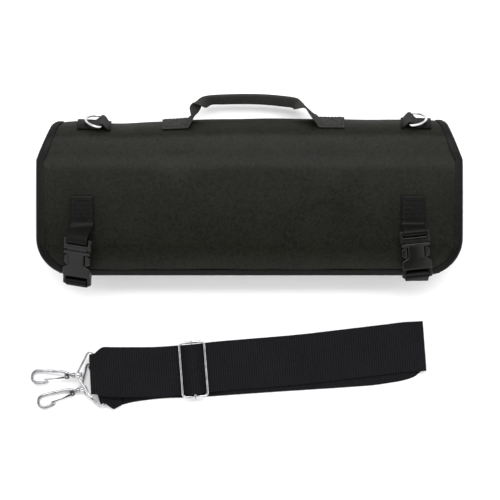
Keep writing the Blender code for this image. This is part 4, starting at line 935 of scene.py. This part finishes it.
def sewnRows(near, far, s, count=16):  # webbing flat on the sheet, in even rows along the roll
    return onSheet(np.linspace(near, far, count)[:, None], s[None], webSeat)


def makeHandle():
    # sewn ends follow the sheet; the free run is a middle line whose rows lean and fold in half: within
    # the fold's radius a row follows a circle, beyond it a straight line
    half, width = handle["span"] / 2, web["width"] / 2
    # shares across that crowd towards both sides and, for the fold, in the middle
    crowd = 0.84 * (1 - (1 - np.linspace(0, 1, 10)) ** 1.6)
    shares = np.concatenate((-1 + crowd, np.linspace(-0.14, 0.14, 9), 1 - crowd[::-1]))
    s = spineRise(shares * width)
    left = (handle["centre"] - half, handle["centre"] - half + handle["tab"])
    right = (handle["centre"] + half - handle["tab"], handle["centre"] + half)
    start, end = (onSheet(x, spineRise(0.0), webSeat) for x in (left[1], right[0]))
    lean = unit(sheetPoint(left[1], spineRise(0.002)) - sheetPoint(left[1], spineRise(-0.002)))
    ends = np.array([[0, 0, 0, *lean, 0], [1, 0, 0, *lean, 0]])
    path = catmull(np.vstack((ends[:1], handleRows, ends[1:])), 9)
    spots = start + (end - start) * path[:, :1]
    spots = spots + np.stack((0 * path[:, 1], path[:, 1] * handle["reach"], -path[:, 2]), -1)
    tangent = unit(np.gradient(spots, axis=0))
    tangent[[0, -1]] = (1, 0, 0)
    lean = unit(path[:, 3:6])
    inward = unit(np.cross(tangent, lean))
    turn = np.clip(path[:, 6:], 0.004, 1) * math.pi / 2
    bend = handle["foldRadius"] * math.pi / 2
    rate = turn / bend
    offset = (shares * width)[None]
    inner, rest = np.minimum(np.abs(offset), bend), np.clip(np.abs(offset) - bend, 0, None)
    aside = np.sin(rate * inner) / rate + rest * np.cos(turn)
    deep = (1 - np.cos(rate * inner)) / rate + rest * np.sin(turn)
    free = spots[:, None] + lean[:, None] * (np.sign(offset) * aside)[..., None] + inward[:, None] * deep[..., None]
    middle = smoothed(np.concatenate((sewnRows(*left, s), free[1:-1], sewnRows(*right, s))), 2)
    grip = shell(middle, web["wall"], web["rounding"])
    webPiece("handle", grip, "webbing", "carry_handle", lengths(middle, 0)[-1].mean(), web["width"])
    inset, seams = handle["stitchInset"], []
    for low, high in (left, right):
        along = (-width + inset, width - inset)
        seams += sewnBox((low + inset, high - inset), along, spineRise, webSeat + web["wall"] / 2)
    piece("handleSeam", seams, "sewingThread")


ringTabs = {
    "left": {"side": -1, "inset": 0.0490, "outer": 0.0245, "inner": 0.0090},
    "right": {"side": 1, "inset": 0.0365, "outer": 0.0215, "inner": 0.0085},
}
# seams: how far each of a tab's three lies from its end or from the fold, and from its sides
ringShape = {
    "width": 0.025, "depth": 0.018, "wire": 0.00125, "tilt": 6.0, "corner": 0.003, "fold": 3.2,
    "seams": (0.0015, 0.0022, 0.0016), "seamInset": 0.0018,
}


def ringFrame(spec):
    # x away from the roll's middle, y along the bar, z outward
    x, s = spec["side"] * (sheet["spineWidth"] / 2 - spec["inset"]), spineRise(0.0)
    outward = spec["side"] * unit(sheetPoint(x + 0.008, s) - sheetPoint(x - 0.008, s))
    along = unit(np.cross(sheetNormal(x, s), outward))
    spot = onSheet(x, s, sheet["wall"] / 2 + web["seat"] * 2 + ringShape["wire"])
    return axesFrame(spot, outward, along, np.cross(outward, along))


def makeRingTab(side, spec):
    # a strip sewn to the spine either side of a half circle over the ring's bar
    hand, place = spec["side"], np.array(ringFrame(spec))
    x = hand * (sheet["spineWidth"] / 2 - spec["inset"])
    wrap = ringShape["wire"] + web["seat"] + web["wall"] / 2
    fold = ringShape["fold"] * wrap
    shares, width = acrossShares(14), web["width"] / 2
    s = spineRise(shares * width)
    angle = np.radians((150, 120, 90, 60, 30))[:, None] + 0 * shares[None]
    local = np.stack((np.cos(angle) * wrap, -hand * shares[None] * width + 0 * angle, np.sin(angle) * wrap), -1)
    bridge = local @ place[:3, :3].T + place[:3, 3]
    near = sewnRows(x - hand * spec["inner"], x - hand * fold, s, 8)
    far = sewnRows(x + hand * fold, x + hand * spec["outer"], s, 8)
    middle = carried(np.concatenate((near, bridge, far)), 0.0008)
    tab, length = shell(middle, web["wall"], web["rounding"]), lengths(middle, 0)[-1].mean()
    webPiece("ringTab_" + side, tab, "buckleWebbing", "dring_tab_" + side, length, web["width"])
    seams, (inner, outer, folded) = [], ringShape["seams"]
    reach = width - ringShape["seamInset"]
    sAt = spineRise(np.linspace(-reach, reach, 24))
    for place in (-spec["inner"] + inner, spec["outer"] - outer, fold + folded):
        across = np.full(len(sAt), x + hand * place)
        seams.append(sewn(across, sAt, webSeat + web["wall"] / 2))
    piece("ringTabSeam_" + side, seams, "sewingThread")


def makeRing(side, spec):
    # a straight bar with a round corner at each end, and half an ellipse between them
    corner, deep = ringShape["corner"], ringShape["depth"] - ringShape["wire"]
    half = ringShape["width"] / 2 + ringShape["wire"]
    bends = [(corner * (1 - math.cos(a)), half - corner * (1 - math.sin(a))) for a in (0.6, 1.1)]
    points = [(0.0, -half + corner), (0.0, 0.0), (0.0, half - corner)] + bends
    points += arc(corner, 0.0, deep - corner, half, np.arange(90, -91, -12)).tolist()
    points += [(x, -y) for x, y in reversed(bends)] + points[:1]
    path = carried(np.array([(x, y, 0.0) for x, y in points]), 0.0009)[:-1]
    place = ringFrame(spec) @ turnedBy(-ringShape["tilt"], "Y")
    loop, node = wire(path, ringShape["wire"], loop=True), "dring_" + side
    piece("ring_" + side, [loop], "chrome", body=node, nodes=[node], place=place)


makeHandle()
for side, spec in ringTabs.items():
    makeRingTab(side, spec)
    makeRing(side, spec)
print("handle and rings made")


# the shoulder strap on the floor

strap = {
    "width": 0.0508, "wall": 0.0016, "folded": 0.339, "tilt": 4.4, "fromFlap": 0.0483, "overhang": 0.0345,
    "neck": 0.0405, "floor": 0.0001, "pitch": 0.0021, "fold": 0.0022, "slider": 0.103, "sliderLength": 0.0254,
    "sliderWire": 0.0013, "sliderPlay": 0.001, "sliderCorner": 0.004, "turnBack": 0.0275, "widen": 0.013,
    "straighten": 0.024, "ripple": 0.00016,
}
hookShape = {
    "ringDepth": 0.016, "ringWire": 0.0013, "barrel": 0.0027, "barrelLength": 0.0052, "stem": 0.0015,
    "wire": 0.0016, "length": 0.041, "bend": 0.0062, "gate": 0.0014, "pin": 0.0008, "eyeHalf": 0.00095,
    "hinge": (0.011, -0.0016), "earWall": 0.00085, "play": 0.0003,
    "shank": ((0.008, 0.001), (0.011, 0.0024), (0.014, 0.0036), (0.024, 0.0050)),
}
# drifts: how far each layer wanders aside along the folded length, as shares of that length and of the width
topDrift = np.array([
    (0.00, 0.000), (0.084, -0.053), (0.192, -0.108), (0.295, -0.112), (0.373, -0.090), (0.625, -0.080),
    (0.805, -0.031), (0.95, 0.010), (1.00, 0.000),
])
bottomDrift = np.array([
    (0.00, -0.300), (0.048, -0.289), (0.084, -0.209), (0.12, -0.167), (0.192, -0.144), (0.336, -0.177),
    (0.553, -0.189), (0.77, -0.207), (0.842, -0.205), (0.914, -0.173), (1.00, -0.045),
])
# half of a strap ring from its swivel to its bar, as shares of its depth and half width
ringOutline = np.array([
    (1.00, 0.085), (0.93, 0.20), (0.78, 0.38), (0.53, 0.67), (0.26, 0.955), (0.13, 1.00), (0.03, 0.98), (0.00, 0.925),
])
hooks = {
    "a": {"along": 0.0013, "across": -0.050, "heading": 1.5, "pitch": 7.5, "bar": 0.0104},
    "b": {"along": 0.0045, "across": -0.260, "heading": -13.6, "pitch": 1.2, "bar": 0.0034},
}
strapTilt = math.radians(strap["tilt"])
strapDirection = np.array((math.cos(strapTilt), math.sin(strapTilt), 0.0))
strapAside = np.array((-strapDirection[1], strapDirection[0], 0.0))
strapMiddleY = flapEdgeY - strap["fromFlap"] - strap["width"] / 2
strapStart = (sheet["flapWidth"] / 2 - strap["overhang"], strapMiddleY, 0.0) - strapDirection * strap["folded"]
sliderWrap = strap["sliderWire"] + web["seat"] + strap["wall"] / 2
sliderHeight = strap["wall"] / 2 + 2 * strap["pitch"] + sliderWrap


def strapSpot(along, across, height):
    return strapStart + strapDirection * along + strapAside * across + np.array((0.0, 0.0, strap["floor"] + height))


def hookFrame(spec):
    # x outwards from the bar to the swivel, y along the bar, z up
    turn = turnedBy(strap["tilt"] + 180.0 - spec["heading"], "Z") @ turnedBy(spec["pitch"], "Y")
    return Matrix.Translation(Vector(strapSpot(spec["along"], spec["across"] * strap["width"], spec["bar"]))) @ turn


# the ribbon's rows as (place along, share of the climb), but offBar as (distance from the bar, rise),
# overSlider's places as shares of the slider's half length, and the layers as shares of the folded length
strapRuns = {
    "offBar": ((0.0045, 0.0016), (0.008, 0.0006), (0.0127, 0.0), (0.020, 0.0), (0.034, 0.0)),
    "toRingA": ((0.052, 0.0), (0.042, 0.0), (0.032, 0.22), (0.022, 0.54), (0.012, 0.86)),
    "fromRingA": ((0.012, 0.76), (0.022, 0.46), (0.032, 0.25), (0.045, 0.0), (0.056, 0.0)),
    "overSlider": ((2.4, 0.0), (1.5, 0.0), (1.0, 0.0), (0.75, 0.13), (0.51, 0.47), (0.27, 0.85)),
    "topLayer": (0.44, 0.48, 0.54, 0.6, 0.65, 0.7, 0.75, 0.8, 0.85, 0.89, 0.945),
    "lowLayer": (0.96, 0.92, 0.88, 0.84, 0.79, 0.74, 0.69, 0.64, 0.54, 0.44, 0.34, 0.27, 0.2, 0.15, 0.11),
    "toRingB": ((0.027, 0.0), (0.020, 0.0), (0.013, 0.0)),
    "fromRingB": ((0.011, 0.78), (0.016, 0.5), (0.022, 0.14), (strap["turnBack"], 0.0)),
}


def makeStrap():
    # one ribbon: from the slider's bar to hook a, back through the slider to the far fold, and under to hook b
    rings = {name: hookFrame(spec) for name, spec in hooks.items()}
    sides = {name: -np.array(matrix.col[1].to_3d()) for name, matrix in rings.items()}
    wrap = hookShape["ringWire"] + web["seat"] + strap["wall"] / 2
    bottom, middle, runs, rows = strap["wall"] / 2, strap["slider"], strapRuns, []
    second, top = bottom + strap["pitch"], bottom + 2 * strap["pitch"] - 0.0001

    def lay(along, height, drift, ring=None):
        side, width = strapAside, strap["width"]
        if ring:
            away = max(0.0, along - hooks[ring]["along"])
            width = strap["neck"] + (strap["width"] - strap["neck"]) * ease(away / strap["widen"])
            share = ease(away / strap["straighten"])
            side = unit(sides[ring] * (1 - share) + strapAside * share)
        spot = strapSpot(along, np.interp(along / strap["folded"], *drift.T) * strap["width"], height)
        rows.append((spot - side * width / 2, spot + side * width / 2))

    def climb(run, low, high, drift, ring=None):
        for along, share in run:
            lay(along, low + share * (high - low), drift, ring)

    def wrapRing(ring):
        for along, up in arc(0.0, 0.0, wrap, wrap, np.arange(-90, 91, 30)):
            spot = np.array(rings[ring] @ Vector((along, 0.0, up)))
            rows.append((spot - sides[ring] * strap["neck"] / 2, spot + sides[ring] * strap["neck"] / 2))

    for along, height in arc(middle, sliderHeight, sliderWrap, sliderWrap, (170, 130, 90, 45, 0, -45, -90)):
        lay(along, height, topDrift)
    for away, rise in runs["offBar"]:
        lay(middle - away, second + rise, topDrift)
    climb(runs["toRingA"], second, hooks["a"]["bar"] - wrap, topDrift, "a")
    wrapRing("a")
    climb(runs["fromRingA"], top, hooks["a"]["bar"] + wrap, topDrift, "a")
    hump, reach = sliderHeight + sliderWrap + strap["wall"] + web["plyGap"], strap["sliderLength"] / 2
    climb([(middle - share * reach, rise) for share, rise in runs["overSlider"]], top, hump, topDrift)
    lay(middle, hump, topDrift)
    climb([(middle + share * reach, rise) for share, rise in runs["overSlider"][:1:-1]], top, hump, topDrift)
    lay(middle + 0.02, top - 0.0007, topDrift)
    lay(middle + 0.032, second, topDrift)
    climb([(share * strap["folded"], 0.0) for share in runs["topLayer"]], second, top, topDrift)
    fold = strap["folded"] - strap["fold"] - strap["wall"] / 2
    lay(fold - 0.008, second + 0.0010, topDrift)
    for along, height in arc(fold, bottom + strap["fold"], strap["fold"], strap["fold"], np.arange(90, -91, -30)):
        lay(along, height, topDrift)
    climb([(share * strap["folded"], 0.0) for share in runs["lowLayer"]], bottom, top, bottomDrift)
    climb(runs["toRingB"], bottom, top, bottomDrift, "b")
    wrapRing("b")
    climb(runs["fromRingB"], second, hooks["b"]["bar"] + wrap, bottomDrift, "b")
    shape, length, _ = webbing(np.array(rows), strap["wall"], 0.0008, 20, 0.0007, strap["ripple"])
    ribbon = piece("shoulderStrap", [shape], "strapWebbing", nodes=["shoulder_webbing"])
    return length


def makeSlider():
    # a rounded rectangle of wire with a middle bar whose ends stand proud
    half = strap["width"] / 2 + strap["sliderPlay"] + strap["sliderWire"]
    long, corner = strap["sliderLength"] / 2, strap["sliderCorner"]
    points = []
    for x, y, first in ((long, half, 0), (-long, half, 90), (-long, -half, 180), (long, -half, 270)):
        centre = (x - math.copysign(corner, x), y - math.copysign(corner, y))
        points += [(*spot, 0.0) for spot in arc(*centre, corner, corner, np.linspace(first, first + 90, 7))]
    reach = half + strap["sliderWire"] * 1.1
    bar = rod([(0, -reach, 0), (0, reach, 0)], strap["sliderWire"])
    drift = np.interp(strap["slider"] / strap["folded"], *topDrift.T) * strap["width"]
    place = Matrix.Translation(Vector(strapSpot(strap["slider"], drift, sliderHeight))) @ turnedBy(strap["tilt"], "Z")
    loop = wire(points, strap["sliderWire"], loop=True)
    piece("slider", [loop, bar], "chrome", nodes=["strap_slider"], place=place)


def makeHookRing(name, spec):
    # a wide ring of wire open at its barrel, and the barrel that turns on it
    half, depth, h = strap["neck"] / 2 + 0.0028, hookShape["ringDepth"], hookShape
    right = ringOutline * (depth, half)
    line = np.vstack((right, [(0, half * 0.45), (0, -half * 0.45)], (right * (1, -1))[::-1]))
    path = carried(np.column_stack((line, 0 * line[:, 0])), 0.0009)
    long, r, hole, bevel = h["barrelLength"] / 2, h["barrel"], 0.0012, 0.0005
    half = np.array([(long - bevel, r), (long, r - bevel), (long, hole)])
    barrel = np.vstack(((half * (-1, 1))[::-1], half)) + (depth, 0)
    shapes = [wire(path, h["ringWire"]), turned(barrel)]
    piece("hookRing_" + name, shapes, "chrome", nodes=["hook_ring_" + name], place=hookFrame(spec))


def makeHook(name, spec):
    # a stem with a rivet head behind the barrel and a neck before it, the hook's wire, two ears with a pin,
    # and the gate's lever as its own piece
    h = hookShape
    place = hookFrame(spec) @ Matrix.Translation((h["ringDepth"], 0, 0)) @ turnedBy(180.0, "X")
    end, head, bend, long = h["barrelLength"] / 2 + 0.0004, h["barrel"] - 0.0001, h["bend"], h["length"]
    cap = [(-0.0016, 0.0008), (-0.0016, head - 0.0006), (-0.0012, head), (-0.0002, head), (0, head - 0.0002)]
    cap.append((0, h["stem"]))
    shapes = [turned([(x - end, r) for x, r in cap] + [(end + 0.001, h["stem"])])]
    neck = [
        (0, 0.001), (0, head - 0.0001), (0.0003, head + 0.0002), (0.0020, head + 0.0002), (0.0030, head - 0.0004),
        (0.0042, h["wire"]), (0.0046, 0.0006),
    ]
    shapes.append(turned([(end + x, r) for x, r in neck]))
    line = [(end + 0.0018, 0.0), *h["shank"], (long - 0.004, bend)]
    line += [*arc(long, 0.0, bend, bend, np.arange(90, -91, -15))]
    line += [(long - 0.005, -bend + 0.0002), (long - 0.009, -bend + 0.0008)]
    shapes.append(rod(carried(np.array([(x, y, 0.0) for x, y in line]), 0.0008), h["wire"]))
    pinX, pinY = h["hinge"]
    inside, wall = h["eyeHalf"] + h["play"], h["earWall"]
    ear = np.array([(-0.0024, -0.0020), (0.0024, -0.0020), (0.0024, 0.0042), (-0.0024, 0.0042)]) + h["hinge"]
    for hand in (-1, 1):
        lift = Matrix.Translation((0, 0, hand * (inside + wall / 2)))
        shapes.append(moved(slab(ear, wall, 0.0002, 0.0016), lift))
    reach = inside + wall + 0.0002
    pin = turned([(-reach, 0.0005), (-reach + 0.0002, h["pin"]), (reach - 0.0002, h["pin"]), (reach, 0.0005)])
    shapes.append(moved(pin, Matrix.Translation((pinX, pinY, 0)) @ turnedBy(90.0, "Y")))
    node = "hook_" + name
    piece(node + "_body", shapes, "hookSteel", body=node, nodes=[node], place=place)
    eye, tip = h["pin"] + h["play"] + 0.0008, long - 0.0062
    low = -bend + 0.0008 + h["wire"] + h["play"]
    high, cut = low + h["gate"], 0.0004
    outline = [*arc(pinX, pinY, eye, eye, np.arange(40, 321, 20)), (tip - 0.012, low), (tip - cut, low)]
    outline += [(tip, low + cut), (tip, high - cut), (tip - cut, high), (tip - 0.012, high)]
    lever, node = slab(outline, 2 * h["eyeHalf"], 0.0003, 0.0002), "gate_" + name
    piece(node + "_lever", [lever], "hookSteel", body=node, nodes=[node], place=place)


strapLength = makeStrap()
makeSlider()
for name, spec in hooks.items():
    makeHookRing(name, spec)
    makeHook(name, spec)
print("strap and hooks made", round(float(strapLength), 3))

# floor, light and camera
stage = {
    "size": 6.0, "floorTone": (0.96, 0.96, 0.96), "sky": 1.5, "zenith": 0.12, "lens": 216.0,
    "camera": (0.0005, -0.0525, 3.052),
}


def makeStage():
    half = stage["size"] / 2
    mesh = bpy.data.meshes.new("floor")
    mesh.from_pydata([(-half, -half, 0), (half, -half, 0), (half, half, 0), (-half, half, 0)], [], [(0, 1, 2, 3)])
    floor = bpy.data.objects.new("floor", mesh)
    bpy.context.scene.collection.objects.link(floor)
    material = bpy.data.materials.new("paleFloor")
    material.use_nodes = True
    sockets = material.node_tree.nodes["Principled BSDF"].inputs
    sockets["Base Color"].default_value = (*stage["floorTone"], 1)
    sockets["Roughness"].default_value = 0.9
    mesh.materials.append(material)
    world = bpy.data.worlds.new("studio")
    world.use_nodes = True
    # a soft white room: bright all round, dimmer overhead so that metal shows dark lines
    tree = world.node_tree
    split = tree.nodes.new("ShaderNodeSeparateXYZ")
    tree.links.new(tree.nodes.new("ShaderNodeTexCoord").outputs["Generated"], split.inputs[0])
    dim, full = (stage["zenith"],) * 3, (1.0, 1.0, 1.0)
    sky = ramp(tree, split.outputs["Z"], [(0.0, full), (0.78, full), (0.93, dim)])
    tree.links.new(sky, tree.nodes["Background"].inputs["Color"])
    tree.nodes["Background"].inputs["Strength"].default_value = stage["sky"]
    bpy.context.scene.world = world


def softLight(name, spot, target, size, power):
    data = bpy.data.lights.new(name, "AREA")
    data.shape, data.size, data.size_y, data.energy = "RECTANGLE", size[0], size[1], power
    lamp = bpy.data.objects.new(name, data)
    lamp.location = spot
    lamp.rotation_euler = (Vector(target) - Vector(spot)).to_track_quat("-Z", "Y").to_euler()
    bpy.context.scene.collection.objects.link(lamp)


makeStage()
softLight("backSoftbox", (0.0, 0.53, 1.05), (0.0, 0.02, 0.05), (1.6, 0.5), 15.5)
softLight("frontSoftbox", (0.0, -1.3, 0.55), (0.0, -0.1, 0.0), (1.8, 0.5), 2.0)
bpy.context.scene.view_settings.view_transform = "Standard"
cameraData = bpy.data.cameras.new("camera")
cameraData.sensor_width = 36.0
cameraData.lens = stage["lens"]
cameraData.clip_end = 20.0
camera = bpy.data.objects.new("camera", cameraData)
camera.location = stage["camera"]
bpy.context.scene.collection.objects.link(camera)
bpy.context.scene.camera = camera
print("stage made")
